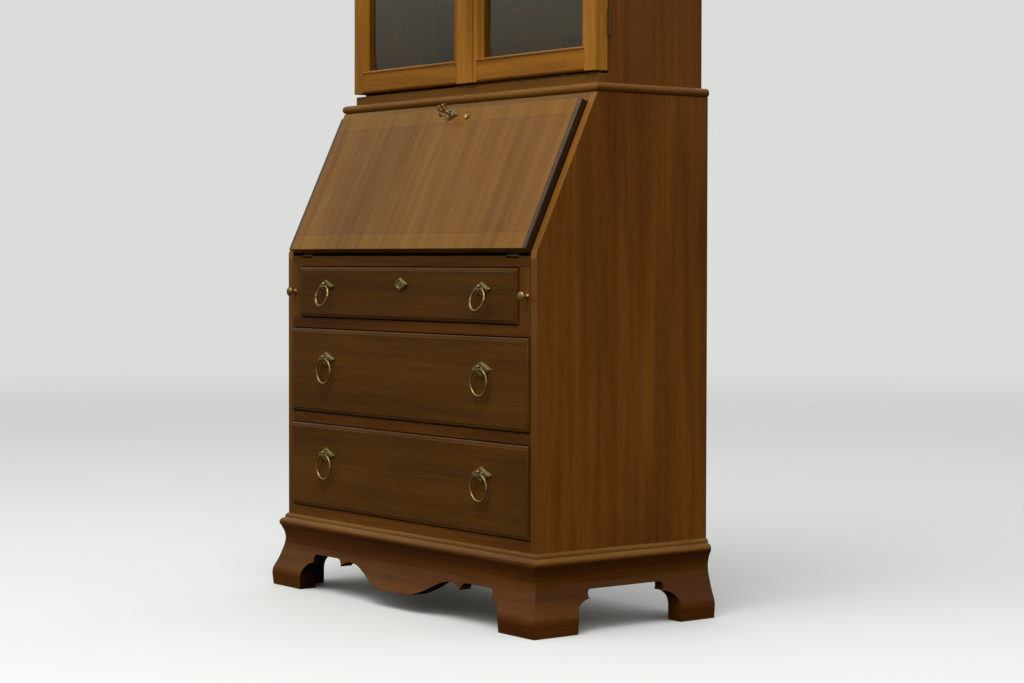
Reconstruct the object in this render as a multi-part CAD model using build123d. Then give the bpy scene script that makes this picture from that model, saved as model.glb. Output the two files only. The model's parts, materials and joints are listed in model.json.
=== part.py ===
from build123d import *
import os
from math import cos, radians, sin

# Secretary desk: a slant-front bureau with three drawers, under a hutch with two glazed doors.
# Millimetres, +Z up, front towards -Y. The origin is on the floor, at the middle of the footprint.

# ---- overall sizes
CASE_WIDTH = 900.0        # outside of the bureau's sides
CASE_DEPTH = 435.5        # front plane of the drawers' rails to the back
CASE_HEIGHT = 1049.5      # floor to the top edge of the bureau's sides
SLANT_ANGLE = 25.3        # lean of the closed fall from the vertical, degrees
HUTCH_DOOR_HEIGHT = 892.0

# ---- boards
SIDE = 19.2               # thickness of the bureau's sides
RAIL = 22.0               # drawer rails
RAIL_DEPTH = 68.0
BACK_BOARD = 10.0
TOP_BOARD = 18.0
TOP_OVERHANG = 3.5
WRITING_BOARD = 21.8
DUST_BOARD = 8.0
RUNNER_WIDTH = 40.0

# ---- base: bracket feet, apron and moulding
BASE_HEIGHT = 139.0       # top of the foot boards, where the carcase stands
MOULDING_HEIGHT = 20.2
MOULDING_REACH = 15.0
FOOT_FLARE = 26.7         # how far the feet stand out from the carcase
FOOT_NECK = 5.0
BASE_THICK = 14.0         # foot boards' thickness behind the carcase's outer face
FRONT_FOOT = 88.0         # carcase corner to the inner edge of a front foot, along the front
SIDE_FOOT = 83.0          # the same, along the side
REAR_FOOT = 89.0
BRACKET_NOSE = 38.0       # how far the nose of a bracket stands beyond its foot
BRACKET_RUN = 46.0        # foot to the start of the straight apron
APRON_FRONT = 80.0        # height of the apron's lower edge
APRON_SIDE = 83.5
DROP_HEIGHT = 36.0        # lowest point of the apron's centre drop
DROP_HALF = 217.0         # half the width of the centre drop

# ---- drawers
BOTTOM_RAIL_TOP = 181.0
DEEP_DRAWER = 185.2       # height of the two deep openings
SHALLOW_DRAWER = 112.8    # height of the top opening
DRAWER_GAP = 1.3          # round each drawer front
DRAWER_PROUD = 6.0        # how far a drawer front stands out of the carcase
DRAWER_FRONT = 22.0
DRAWER_SIDE = 12.0
DRAWER_BOTTOM = 6.0
DRAWER_BEVEL = 9.0
DRAWER_BEVEL_DEPTH = 4.5
SLIDE_GAP = 0.5           # between a drawer's box and its runners and guides
PULL_INSET = 167.0        # carcase side to a pull's centre
PULL_RISE = 27.0          # pull's plate above the middle of a deep drawer

# ---- lopers, the slides that carry the open fall
LOPER = 20.0
LOPER_GAP = 0.4
LOPER_DIVIDER = 15.0
LOPER_REACH = 385.0
LOPER_KNOB_RADIUS = 10.0
LOPER_KNOB_REACH = 20.0

# ---- fall
FALL_THICK = 22.0
FALL_SIDE_GAP = 1.8
FALL_HEEL = 6.0           # hinge pin to the fall's lower edge
FALL_TOP_GAP = 1.5
PIN_SETBACK = 5.0         # hinge pin behind the carcase's front plane
FALL_SINK = 7.1           # fall's inner face behind the sides' slanted edges
SLANT_RAIL_FACE = 19.5
FALL_HINGE_INSET = 78.0
FALL_HINGE_WIDTH = 38.0

# ---- hinges
LEAF = 1.2
FALL_BARREL = 3.8
DOOR_BARREL = 3.0
PIN_RADIUS = 1.5
PIN_CLEARANCE = 0.06
BARREL_GAP = 0.5

# ---- locks
LOCK_HALF = 21.0          # half the lock case's width
LOCK_TAIL = 20.0          # key axis to the far end of the lock case
LOCK_EDGE = 14.0          # key axis to the edge that the bolt leaves
LOCK_DEEP = 12.0
LOCK_WALL = 1.5
BOLT_HALF = 9.0
BOLT_THROW = 6.0
KEY_RADIUS = 2.0
KEY_CLEARANCE = 0.06
KEY_BOW = 12.5            # radius of the bow's ring, to the middle of its wire
KEY_REACH = 19.0          # escutcheon to the middle of the key's bow

# ---- pulls
PLATE_THICK = 2.2
PLATE_RIM = 4.5
RING_AXIS = 9.0           # ring's pivot in front of the drawer front
WIRE_RADIUS = 2.3
EYE_RADIUS = 4.8
EYE_HOLE = 2.8

# ---- writing gallery behind the fall
GALLERY_SETBACK = 205.0
GALLERY_HEIGHT = 255.0
GALLERY_BOARD = 10.0
GALLERY_WING = 212.0      # width of each end section
SMALL_DRAWER = 70.0

# ---- hutch
HUTCH_INSET = 20.0
HUTCH_SIDE_SETBACK = 192.0
HUTCH_BASE_RAIL = 19.5
HUTCH_DOOR_RISE = 25.5    # bureau top to the doors' lower edge
HUTCH_SIDE = 19.0
DOOR_THICK = 30.6
DOOR_BACK_GAP = 2.4
DOOR_MEETING_GAP = 2.0
STILE_FACE = 35.0
RAIL_FACE = 42.0
STICKING = 8.0            # width of the moulding round the glass
STICKING_DEPTH = 14.0
GLASS_DEPTH = 16.0        # door face to the glass
GLASS = 4.0
GLASS_BEVEL = 22.0
GLASS_BEVEL_DEPTH = 1.4
GLASS_REBATE = 7.0
ASTRAGAL = 25.0
ASTRAGAL_PROUD = 3.0
DOOR_HINGE_HEIGHT = 55.0
DOOR_HINGE_INSET = 95.5
DOOR_PIN_OUT = 3.6        # hinge pin outside the hutch's side
FRIEZE = 30.0
CORNICE_HEIGHT = 58.0
CORNICE_REACH = 40.0
SHELF = 18.0
SHELF_COUNT = 3
SHELF_PIN = 3.0

# ---- places worked out from the sizes
HALF = CASE_WIDTH / 2
FRONT = -(CASE_DEPTH + FOOT_FLARE) / 2 + FOOT_FLARE
BACK = FRONT + CASE_DEPTH
INNER = HALF - SIDE
REAR = BACK - BACK_BOARD
MOULDING_TOP = BASE_HEIGHT + MOULDING_HEIGHT
DEEP_LOW = BOTTOM_RAIL_TOP
DEEP_HIGH = DEEP_LOW + DEEP_DRAWER + RAIL
SHALLOW_LOW = DEEP_HIGH + DEEP_DRAWER + RAIL
SHALLOW_TOP = SHALLOW_LOW + SHALLOW_DRAWER
WRITING_HEIGHT = SHALLOW_TOP + WRITING_BOARD
LOPER_INNER = INNER - LOPER - 2 * LOPER_GAP
TOP_DRAWER_HALF = LOPER_INNER - LOPER_DIVIDER

LEAN_Y = sin(radians(SLANT_ANGLE))
LEAN_Z = cos(radians(SLANT_ANGLE))
PIN_Y = FRONT + PIN_SETBACK
PIN_Z = WRITING_HEIGHT
EDGE_LENGTH = (CASE_HEIGHT - PIN_Z - FALL_SINK * LEAN_Y) / LEAN_Z
RAIL_FOOT = EDGE_LENGTH - SLANT_RAIL_FACE
FALL_TOP = RAIL_FOOT - FALL_TOP_GAP
FALL_HALF = INNER - FALL_SIDE_GAP
KEY_UP = FALL_TOP - LOCK_EDGE

HUTCH_HALF = HALF - HUTCH_INSET
HUTCH_FRONT = FRONT + HUTCH_SIDE_SETBACK
HUTCH_FOOT = CASE_HEIGHT + TOP_BOARD
DOOR_LOW = HUTCH_FOOT + HUTCH_DOOR_RISE
DOOR_TOP = DOOR_LOW + HUTCH_DOOR_HEIGHT
DOOR_BACK = HUTCH_FRONT - DOOR_BACK_GAP
DOOR_FACE = DOOR_BACK - DOOR_THICK
DOOR_PIN_X = HUTCH_HALF + DOOR_PIN_OUT
DOOR_PIN_Y = HUTCH_FRONT - DOOR_BACK_GAP / 2
HUTCH_TOP = DOOR_TOP + 3.0 + FRIEZE
HUTCH_INNER = HUTCH_HALF - HUTCH_SIDE


# ---- helpers
def block(x, y, z):
    """A box between pairs of limits."""
    centre = Pos((x[0] + x[1]) / 2, (y[0] + y[1]) / 2, (z[0] + z[1]) / 2)
    return centre * Box(x[1] - x[0], y[1] - y[0], z[1] - z[0])


def across(points, x0, x1):
    """An outline in Y and Z, drawn out along X."""
    outline = make_face(Polyline(*points, close=True))
    return extrude(Plane.YZ.offset(x0) * outline, x1 - x0)


def plan(points, z0, z1):
    """An outline in X and Y, drawn out along Z."""
    outline = make_face(Polyline(*points, close=True))
    return extrude(Plane.XY.offset(z0) * outline, z1 - z0)


def group(*shapes):
    """Separate solids kept together under one name."""
    return Compound([solid for shape in shapes for solid in shape.solids()])


def mirrored(shape):
    """The same shape on the other side of the desk."""
    return mirror(shape, about=Plane.YZ)


def both(shape):
    """A shape and its mirror image."""
    return group(shape, mirrored(shape))


def slant(up, out):
    """Y and Z of a point by its distance up the fall and out from its inner face."""
    return (PIN_Y + up * LEAN_Y - out * LEAN_Z, PIN_Z + up * LEAN_Z + out * LEAN_Y)


def slab(x, up, out):
    """A box lying in the slope of the fall."""
    low, high = up
    inner, outer = out
    corners = [slant(low, inner), slant(low, outer), slant(high, outer), slant(high, inner)]
    return across(corners, x[0], x[1])


def bevelled(x, z, face, back, bevel, depth):
    """A board in the X and Z plane, with its front edges bevelled."""
    body = block(x, (face + depth, back), z)
    middle = ((x[0] + x[1]) / 2, (z[0] + z[1]) / 2)
    size = (x[1] - x[0], z[1] - z[0])
    low_plane = Plane(origin=(middle[0], face + depth, middle[1]), x_dir=(1, 0, 0), z_dir=(0, -1, 0))
    high_plane = Plane(origin=(middle[0], face, middle[1]), x_dir=(1, 0, 0), z_dir=(0, -1, 0))
    wide = low_plane * Rectangle(size[0], size[1])
    narrow = high_plane * Rectangle(size[0] - 2 * bevel, size[1] - 2 * bevel)
    return body + loft([wide.face(), narrow.face()])


def front_run(outline, half, face, reach, inside):
    """An outline (out, up) run along the front and mitred at both corners."""
    start = Plane(origin=(half + reach, face, 0), x_dir=(0, -1, 0), z_dir=(-1, 0, 0))
    run = extrude(start * outline, 2 * (half + reach))
    corners = [(-half - reach, face - reach), (half + reach, face - reach),
               (half - inside, face + inside), (-half + inside, face + inside)]
    return run & plan(corners, -1, 3000)


def side_run(outline, half, face, back, reach, inside):
    """The same outline run along the right side, mitred where it meets the front."""
    start = Plane(origin=(half, back, 0), x_dir=(1, 0, 0), z_dir=(0, -1, 0))
    run = extrude(start * outline, back - face + reach)
    corners = [(half + reach, face - reach), (half + reach, back),
               (half - inside, back), (half - inside, face + inside)]
    return run & plan(corners, -1, 3000)


# ---- carcase
def bureau_side():
    shape = across([(FRONT, BASE_HEIGHT), slant_foot(), slant(EDGE_LENGTH, FALL_SINK),
                    (BACK, CASE_HEIGHT), (BACK, BASE_HEIGHT)], INNER, HALF)
    return shape


def slant_foot():
    """Where the side's slanted edge leaves the carcase's front plane."""
    up = (FALL_SINK * LEAN_Z - PIN_SETBACK) / LEAN_Y
    return slant(up, FALL_SINK)


def bottom_board():
    return block((-INNER, INNER), (FRONT, REAR), (BASE_HEIGHT, MOULDING_TOP - 0.2))


def drawer_rails():
    depth = (FRONT, FRONT + RAIL_DEPTH)
    width = (-INNER, INNER)
    low = block(width, depth, (MOULDING_TOP - 0.2, BOTTOM_RAIL_TOP))
    middle = block(width, depth, (DEEP_HIGH - RAIL, DEEP_HIGH))
    high = block(width, depth, (SHALLOW_LOW - RAIL, SHALLOW_LOW))
    return group(low, middle, high)


def dust_boards_and_runners():
    pieces = []
    depth = (FRONT + RAIL_DEPTH, REAR)
    for top in (DEEP_HIGH, SHALLOW_LOW):
        middle = top - RAIL / 2
        inside = INNER - RUNNER_WIDTH
        if top == SHALLOW_LOW:
            inside = TOP_DRAWER_HALF - RUNNER_WIDTH
        low, high = middle - DUST_BOARD / 2, middle + DUST_BOARD / 2
        pieces.append(block((-inside, inside), depth, (low, high)))
        pieces.append(both(block((inside, INNER), depth, (top - RAIL, top))))
    low = (MOULDING_TOP - 0.2, BOTTOM_RAIL_TOP)
    pieces.append(both(block((INNER - RUNNER_WIDTH, INNER), depth, low)))
    return group(*pieces)


def loper_dividers():
    return both(block((TOP_DRAWER_HALF, LOPER_INNER), (FRONT, REAR), (SHALLOW_LOW, SHALLOW_TOP)))


def writing_board():
    board = block((-INNER, INNER), (FRONT, REAR), (SHALLOW_TOP, WRITING_HEIGHT))
    centre = HALF - FALL_HINGE_INSET
    wide = FALL_HINGE_WIDTH / 2
    low = WRITING_HEIGHT - FALL_BARREL - BARREL_GAP
    back = PIN_Y + FALL_BARREL + BARREL_GAP
    notch = block((centre - wide - 1, centre + wide + 1), (FRONT - 1, back), (low, WRITING_HEIGHT + 1))
    recess = block((centre - wide, centre + wide), (back - 1, PIN_Y + 30),
                   (WRITING_HEIGHT - LEAF, WRITING_HEIGHT + 1))
    for cut in (notch, recess):
        board = board - cut - mirrored(cut)
    keeper = block((-BOLT_HALF - 1, BOLT_HALF + 1), (FRONT + 4, FRONT + 24),
                   (SHALLOW_TOP - 1, SHALLOW_TOP + 9))
    return board - keeper


def slant_top_rail():
    outline = [slant(RAIL_FOOT, FALL_SINK), slant(EDGE_LENGTH, FALL_SINK),
               (slant(EDGE_LENGTH, -40)[0], CASE_HEIGHT), slant(RAIL_FOOT, -40)]
    rail = across(outline, -INNER, INNER)
    return rail - bolt_room(fall_lock_plane())


def bureau_top():
    width = HALF + TOP_OVERHANG
    face = slant(EDGE_LENGTH, FALL_SINK)[0] - TOP_OVERHANG
    board = block((-width, width), (face, BACK), (CASE_HEIGHT, HUTCH_FOOT))
    nosed = [edge for edge in board.edges()
             if abs(edge.center().Z - (CASE_HEIGHT + HUTCH_FOOT) / 2) > 1
             and edge.center().Y < BACK - 1]
    return fillet(nosed, TOP_BOARD / 2 - 0.3)


def bureau_back():
    return block((-INNER, INNER), (REAR, BACK), (BASE_HEIGHT, CASE_HEIGHT))


# ---- base
def foot_outline():
    """Section of the foot boards: neck at the top, swelling to the foot."""
    swell = Spline((FOOT_NECK, 106), (FOOT_NECK + 4, 82), (FOOT_FLARE - 6, 48), (FOOT_FLARE, 24.5),
                   tangents=[(0, -1), (0, -1)])
    lip = (MOULDING_REACH, BASE_HEIGHT - 3)
    top = ThreePointArc(lip, (FOOT_NECK + 3, 121), (FOOT_NECK, 106))
    rest = Polyline((FOOT_FLARE, 24.5), (FOOT_FLARE - 2.1, 0), (-BASE_THICK, 0),
                    (-BASE_THICK, BASE_HEIGHT), (MOULDING_REACH, BASE_HEIGHT), lip)
    return make_face(top + swell + rest)


def bracket(corner, height, way):
    """Curves of a bracket foot's inner edge, from the floor up to the apron."""
    nose = (corner + way * BRACKET_NOSE, height - 18)
    rise = Spline((corner, 0), (corner + way * 0.5, 26), (corner + way * 4, height - 38),
                  (corner + way * 15, height - 26), nose)
    hollow = Spline(nose, (corner + way * (BRACKET_NOSE - 2.5), height - 11),
                    (corner + way * (BRACKET_NOSE - 1), height - 4), (corner + way * BRACKET_RUN, height))
    return rise, hollow


def base_front():
    board = front_run(foot_outline(), HALF, FRONT, FOOT_FLARE + 5, BASE_THICK)
    foot = HALF - FRONT_FOOT
    rise, hollow = bracket(foot, APRON_FRONT, -1)
    cusp = (DROP_HALF, APRON_FRONT - 15)
    link = Line((foot - BRACKET_RUN, APRON_FRONT), (DROP_HALF + 20, APRON_FRONT))
    dip = ThreePointArc((DROP_HALF + 20, APRON_FRONT), (DROP_HALF + 7, APRON_FRONT - 4), cusp)
    hump = (DROP_HALF - 34, APRON_FRONT - 3)
    tip = (DROP_HALF / 4, DROP_HEIGHT)
    shoulder = ThreePointArc(cusp, (DROP_HALF - 14, APRON_FRONT - 6.5), hump)
    drop = Spline(hump, (DROP_HALF - 76, APRON_FRONT - 12), (DROP_HALF - 107, APRON_FRONT - 26),
                  (DROP_HALF - 140, DROP_HEIGHT + 6), tip)
    floor = Polyline(tip, (0, DROP_HEIGHT), (0, -5), (foot, -5), (foot, 0))
    half = make_face(rise + hollow + link + dip + shoulder + drop + floor)
    opening = extrude(Plane.XZ.offset(-FRONT - 60) * half, 120)
    return board - opening - mirrored(opening)


def base_side():
    board = side_run(foot_outline(), HALF, FRONT, BACK, FOOT_FLARE + 5, BASE_THICK)
    rise, hollow = bracket(FRONT + SIDE_FOOT, APRON_SIDE, 1)
    rear_rise, rear_hollow = bracket(BACK - REAR_FOOT, APRON_SIDE, -1)
    link = Line((FRONT + SIDE_FOOT + BRACKET_RUN, APRON_SIDE),
                (BACK - REAR_FOOT - BRACKET_RUN, APRON_SIDE))
    floor = Polyline((BACK - REAR_FOOT, 0), (BACK - REAR_FOOT, -5), (FRONT + SIDE_FOOT, -5),
                     (FRONT + SIDE_FOOT, 0))
    face = make_face(rise + hollow + link + rear_hollow + rear_rise + floor)
    opening = extrude(Plane.YZ.offset(HALF - 60) * face, 120)
    return board - opening


def moulding_outline():
    """Section of the base moulding: a broad ovolo and a small quarter-round."""
    low = BASE_HEIGHT
    ovolo = ThreePointArc((MOULDING_REACH, low + 2.5), (12.4, low + 7), (7, low + 9.8))
    step = Line((7, low + 9.8), (5.8, low + 11))
    top = ThreePointArc((5.8, low + 11), (4.6, low + 16.8), (1, MOULDING_TOP))
    rest = Polyline((1, MOULDING_TOP), (0, MOULDING_TOP), (0, low), (MOULDING_REACH, low),
                    (MOULDING_REACH, low + 2.5))
    return make_face(ovolo + step + top + rest)


def base_moulding():
    front = front_run(moulding_outline(), HALF, FRONT, MOULDING_REACH + 5, 0)
    side = side_run(moulding_outline(), HALF, FRONT, BACK, MOULDING_REACH + 5, 0)
    return group(front, side, mirrored(side))


def foot_blocks():
    """Blocks glued behind the front feet, and the rear feet's cross brackets."""
    inside = HALF - BASE_THICK
    block_size = 42.0
    corner = block((inside - block_size, inside), (FRONT + BASE_THICK, FRONT + BASE_THICK + block_size),
                   (4, BASE_HEIGHT))
    bracket_board = block((inside - 90, inside), (BACK - 20, BACK), (0, BASE_HEIGHT))
    slope = Plane.XZ.offset(-BACK - 5) * make_face(Polyline(
        (inside - 91, -1), (inside - 45, -1), (inside - 91, 90), close=True))
    bracket_board = bracket_board - extrude(slope, 60)
    return group(both(corner), both(bracket_board))


# ---- locks and keys, drawn about the key's axis: bolt towards +Y, key's bow towards +Z
def fall_lock_plane():
    y, z = slant(KEY_UP, LOCK_DEEP)
    return Plane(origin=(0, y, z), x_dir=(1, 0, 0), z_dir=(0, -LEAN_Z, LEAN_Y))


def door_lock_plane():
    x = DOOR_MEETING_GAP / 2 + LOCK_EDGE
    height = DOOR_LOW + HUTCH_DOOR_HEIGHT * 0.47
    face = DOOR_BACK - LOCK_DEEP
    return Plane(origin=(x, face, height), x_dir=(0, 0, 1), z_dir=(0, -1, 0))


def door_key_plane():
    """The door's lock plane, turned so that the keyhole's slot points down."""
    return door_lock_plane() * Rot(0, 0, -90)


def drawer_lock_plane():
    height = SHALLOW_TOP - DRAWER_GAP - LOCK_EDGE - 21
    face = FRONT - DRAWER_PROUD + DRAWER_FRONT
    return Plane(origin=(0, face, height), x_dir=(1, 0, 0), z_dir=(0, -1, 0))


def lock_case(edge):
    """A flat box with a slot for the bolt and a hole for the key."""
    case = block((-LOCK_HALF, LOCK_HALF), (-LOCK_TAIL, edge), (-LOCK_DEEP, 0))
    room = block((-LOCK_HALF + LOCK_WALL, LOCK_HALF - LOCK_WALL),
                 (-LOCK_TAIL + LOCK_WALL, edge - LOCK_WALL), (-LOCK_DEEP + LOCK_WALL, -LOCK_WALL))
    wide = BOLT_HALF + 0.5
    slot = block((-wide, wide), (edge - 2 * LOCK_WALL, edge + 1), (-8.5, -3.5))
    hole = Cylinder(KEY_RADIUS + KEY_CLEARANCE, 4 * LOCK_WALL)
    return case - room - slot - hole


def lock_bolt(edge):
    """A bolt with a window in which the key's bit turns."""
    body = block((-BOLT_HALF, BOLT_HALF), (-15.5, edge - 0.4), (-8, -4))
    window = block((-6.6, 6.6), (-12.6, 6.4), (-9, -3))
    return body - window


def bolt_room(place):
    """The space that the thrown bolt needs beyond the edge."""
    wide = BOLT_HALF + 0.8
    return place * block((-wide, wide), (LOCK_EDGE - 1, LOCK_EDGE + BOLT_THROW + 3), (-9, -3))


def lock_pocket(place):
    return place * block((-LOCK_HALF, LOCK_HALF), (-LOCK_TAIL, LOCK_EDGE + 1), (-LOCK_DEEP - 1, 0))


def keyhole(depth):
    """Round hole with a slot towards -Y, for the key and its bit."""
    pin = Pos(0, 0, depth / 2) * Cylinder(KEY_RADIUS + KEY_CLEARANCE, depth)
    return pin + block((-1.3, 1.3), (-7.0, 0), (0, depth))


def key(surface):
    """A key in its lock: bit, shank, collar and a ring bow. surface is the escutcheon's height."""
    bow = surface + KEY_REACH
    tip = -LOCK_DEEP + LOCK_WALL + 1
    neck = bow - KEY_BOW
    shank = Pos(0, 0, (tip + neck) / 2) * Cylinder(KEY_RADIUS, neck - tip)
    bit = block((-1, 1), (-6, 0), (tip + 0.5, tip + 6))
    collar = Pos(0, 0, surface + 2.5) * Cylinder(3.4, 3)
    ring = Pos(0, 0, bow) * Rot(0, 90, 0) * Torus(KEY_BOW, KEY_RADIUS)
    return shank + bit + collar + ring


def lozenge(length, height, thick):
    return extrude(make_face(Polyline((-length / 2, 0), (0, -height / 2), (length / 2, 0),
                                      (0, height / 2), close=True)), thick)


def lozenge_plate(length, height):
    """A lozenge plate with a raised rim."""
    inside = 1 - 5.5 / height
    body = lozenge(length, height, PLATE_RIM)
    dish = Pos(0, 0, PLATE_THICK) * lozenge(length * inside, height * inside, PLATE_RIM)
    return body - dish


# ---- fall
def fall_panel():
    panel = slab((-FALL_HALF, FALL_HALF), (FALL_HEEL, FALL_TOP), (0, FALL_THICK))
    outer_y, outer_z = slant((FALL_HEEL + FALL_TOP) / 2, FALL_THICK)
    side_edges = [edge for edge in panel.edges()
                  if abs(abs(edge.center().X) - FALL_HALF) < 0.1
                  and abs(edge.center().Y - outer_y) < 1 and abs(edge.center().Z - outer_z) < 1]
    panel = fillet(side_edges, 8)
    centre = HALF - FALL_HINGE_INSET
    wide = FALL_HINGE_WIDTH / 2
    recess = slab((centre - wide, centre + wide), (FALL_HEEL - 1, 31), (-1, LEAF))
    panel = panel - recess - mirrored(recess)
    panel = panel - lock_pocket(fall_lock_plane())
    return panel - fall_lock_plane() * keyhole(FALL_THICK)


def fall_surface():
    """Outer face of the fall, above the lock's outer face."""
    return FALL_THICK - LOCK_DEEP


def fall_escutcheon():
    plate = Pos(0, 0, fall_surface()) * lozenge_plate(54, 26)
    hole = Pos(0, 0, fall_surface() - 1) * keyhole(PLATE_RIM + 2)
    return fall_lock_plane() * (plate - hole)


def fall_stud():
    """A small oval stud beside the keyhole."""
    foot = Pos(64, -4, fall_surface() + 1) * Cylinder(4.5, 2)
    knob = Pos(64, -4, fall_surface() + 4) * scale(Sphere(5), (1.0, 1.9, 0.6))
    return fall_lock_plane() * (foot + knob)


def knuckle_spans(width, count):
    """Low and high end of each knuckle along a barrel, with a small gap between them."""
    step = width / count
    return [(-width / 2 + n * step + 0.2, -width / 2 + (n + 1) * step - 0.2) for n in range(count)]


def hinge_leaf(width, radius, reach, level, own, with_pin):
    """A leaf about a barrel on the Z axis, reaching along +X. level: Y limits of the plate."""
    start = radius + BARREL_GAP
    leaf = block((start, reach), level, (-width / 2, width / 2))
    spans = knuckle_spans(width, 5)
    for index in own:
        low, high = spans[index]
        leaf = leaf + Pos(0, 0, (low + high) / 2) * Cylinder(radius, high - low)
        leaf = leaf + block((0, start + 0.5), level, (low, high))
    if with_pin:
        return leaf + Cylinder(PIN_RADIUS, width)
    return leaf - Cylinder(PIN_RADIUS + PIN_CLEARANCE, width + 2)


def fall_hinge_place(direction_y, direction_z):
    """Hinge frame on the fall's pin, its leaf reaching along the given direction."""
    centre = HALF - FALL_HINGE_INSET
    return Plane(origin=(centre, PIN_Y, PIN_Z), x_dir=(0, direction_y, direction_z), z_dir=(1, 0, 0))


def fall_hinge_leaves():
    leaf = hinge_leaf(FALL_HINGE_WIDTH, FALL_BARREL, 30.5, (0, LEAF), (1, 3), False)
    return both(fall_hinge_place(LEAN_Y, LEAN_Z) * leaf)


def desk_hinge_leaves():
    leaf = hinge_leaf(FALL_HINGE_WIDTH, FALL_BARREL, 29.5, (-LEAF, 0), (0, 2, 4), True)
    return both(fall_hinge_place(1, 0) * leaf)


def door_hinge_heights():
    return (DOOR_LOW + DOOR_HINGE_INSET, DOOR_TOP - DOOR_HINGE_INSET)


def door_leaf(height, toward_case):
    """A leaf of the right door's hinges, drawn from the pin towards the middle of the desk."""
    gap = DOOR_BACK_GAP / 2
    plane = Plane(origin=(DOOR_PIN_X, DOOR_PIN_Y, height), x_dir=(-1, 0, 0), z_dir=(0, 0, 1))
    if toward_case:
        leaf = hinge_leaf(DOOR_HINGE_HEIGHT, DOOR_BARREL, 20, (-gap, -0.2), (0, 2, 4), True)
    else:
        leaf = hinge_leaf(DOOR_HINGE_HEIGHT, DOOR_BARREL, 20, (0.2, gap), (1, 3), False)
    return plane * leaf


def case_hinge_leaves():
    doors = [both(door_leaf(height, True)) for height in door_hinge_heights()]
    return group(desk_hinge_leaves(), *doors)


# ---- lopers
def loper():
    x = (INNER - LOPER_GAP - LOPER, INNER - LOPER_GAP)
    z = (SHALLOW_LOW + LOPER_GAP, WRITING_HEIGHT - FALL_THICK - 0.4)
    return block(x, (FRONT, FRONT + LOPER_REACH), z)


def loper_knob():
    x = INNER - LOPER_GAP - LOPER / 2
    z = (SHALLOW_LOW + SHALLOW_TOP) / 2
    axis = Plane(origin=(x, FRONT, z), x_dir=(1, 0, 0), z_dir=(0, -1, 0))
    stem = Pos(0, 0, 5) * Cylinder(3.4, 10)
    ball = Pos(0, 0, LOPER_KNOB_REACH - 5.5) * scale(Sphere(LOPER_KNOB_RADIUS), (1, 1, 0.55))
    return axis * (stem + ball)


# ---- drawers
def drawer_front(half, low, high):
    face = FRONT - DRAWER_PROUD
    width = half - DRAWER_GAP
    return bevelled((-width, width), (low + DRAWER_GAP, high - DRAWER_GAP), face, face + DRAWER_FRONT,
                    DRAWER_BEVEL, DRAWER_BEVEL_DEPTH)


def drawer_box(half, low, high):
    """Sides, back and bottom behind a drawer front."""
    start = FRONT - DRAWER_PROUD + DRAWER_FRONT
    end = REAR - 12
    outer = half - SLIDE_GAP - 0.7
    inner = outer - DRAWER_SIDE
    foot = low + SLIDE_GAP
    rim = high - 12
    bottom = foot + 8
    side = block((inner, outer), (start, end), (foot, rim))
    rear = block((-inner, inner), (end - DRAWER_SIDE, end), (bottom + DRAWER_BOTTOM, rim))
    floor = block((-inner, inner), (start, end), (bottom, bottom + DRAWER_BOTTOM))
    return group(both(side), rear, floor)


def pull_plate(centre, length, height):
    """A lozenge plate with the eye that its ring hangs in."""
    x, z = centre
    plane = Plane(origin=(x, FRONT - DRAWER_PROUD, z), x_dir=(1, 0, 0), z_dir=(0, -1, 0))
    post = Pos(0, 0, RING_AXIS / 2) * Cylinder(3.2, RING_AXIS)
    eye = Pos(0, 0, RING_AXIS) * Sphere(EYE_RADIUS)
    hole = Pos(0, 0, RING_AXIS) * Rot(0, 90, 0) * Cylinder(EYE_HOLE, 30)
    return plane * (lozenge_plate(length, height) + (post + eye - hole))


def pull_ring(centre, diameter, lean):
    """A ring hanging from its eye, leaning out by an angle."""
    x, z = centre
    radius = diameter / 2 - WIRE_RADIUS
    ring = Pos(0, 0, -radius) * Rot(90, 0, 0) * Torus(radius, WIRE_RADIUS)
    return Pos(x, FRONT - DRAWER_PROUD - RING_AXIS, z) * Rot(-lean, 0, 0) * ring


def drawer_escutcheon():
    place = drawer_lock_plane()
    plate = Pos(0, 0, DRAWER_FRONT) * lozenge_plate(54, 27)
    hole = Pos(0, 0, DRAWER_FRONT - 1) * keyhole(PLATE_RIM + 2)
    return place * (plate - hole)


def top_drawer_front():
    board = drawer_front(TOP_DRAWER_HALF, SHALLOW_LOW, SHALLOW_TOP)
    return board - drawer_lock_plane() * keyhole(DRAWER_FRONT + 1)


def drawer_lock():
    """A lock behind the top drawer's front, with its bolt drawn back."""
    edge = SHALLOW_TOP - DRAWER_GAP - drawer_lock_plane().origin.Z
    return group(drawer_lock_plane() * lock_case(edge), drawer_lock_plane() * lock_bolt(edge))


PULL_X = HALF - PULL_INSET
TOP_PULL = (SHALLOW_LOW + SHALLOW_TOP) / 2 + 13.5
DRAWERS = {
    "top": (TOP_DRAWER_HALF, SHALLOW_LOW, SHALLOW_TOP, TOP_PULL, (56, 27), 49, 17),
    "middle": (INNER, DEEP_HIGH, DEEP_HIGH + DEEP_DRAWER, DEEP_HIGH + DEEP_DRAWER / 2 + PULL_RISE,
               (66, 31), 58, 0),
    "bottom": (INNER, DEEP_LOW, DEEP_LOW + DEEP_DRAWER, DEEP_LOW + DEEP_DRAWER / 2 + PULL_RISE,
               (66, 31), 58, 0),
}


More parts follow.
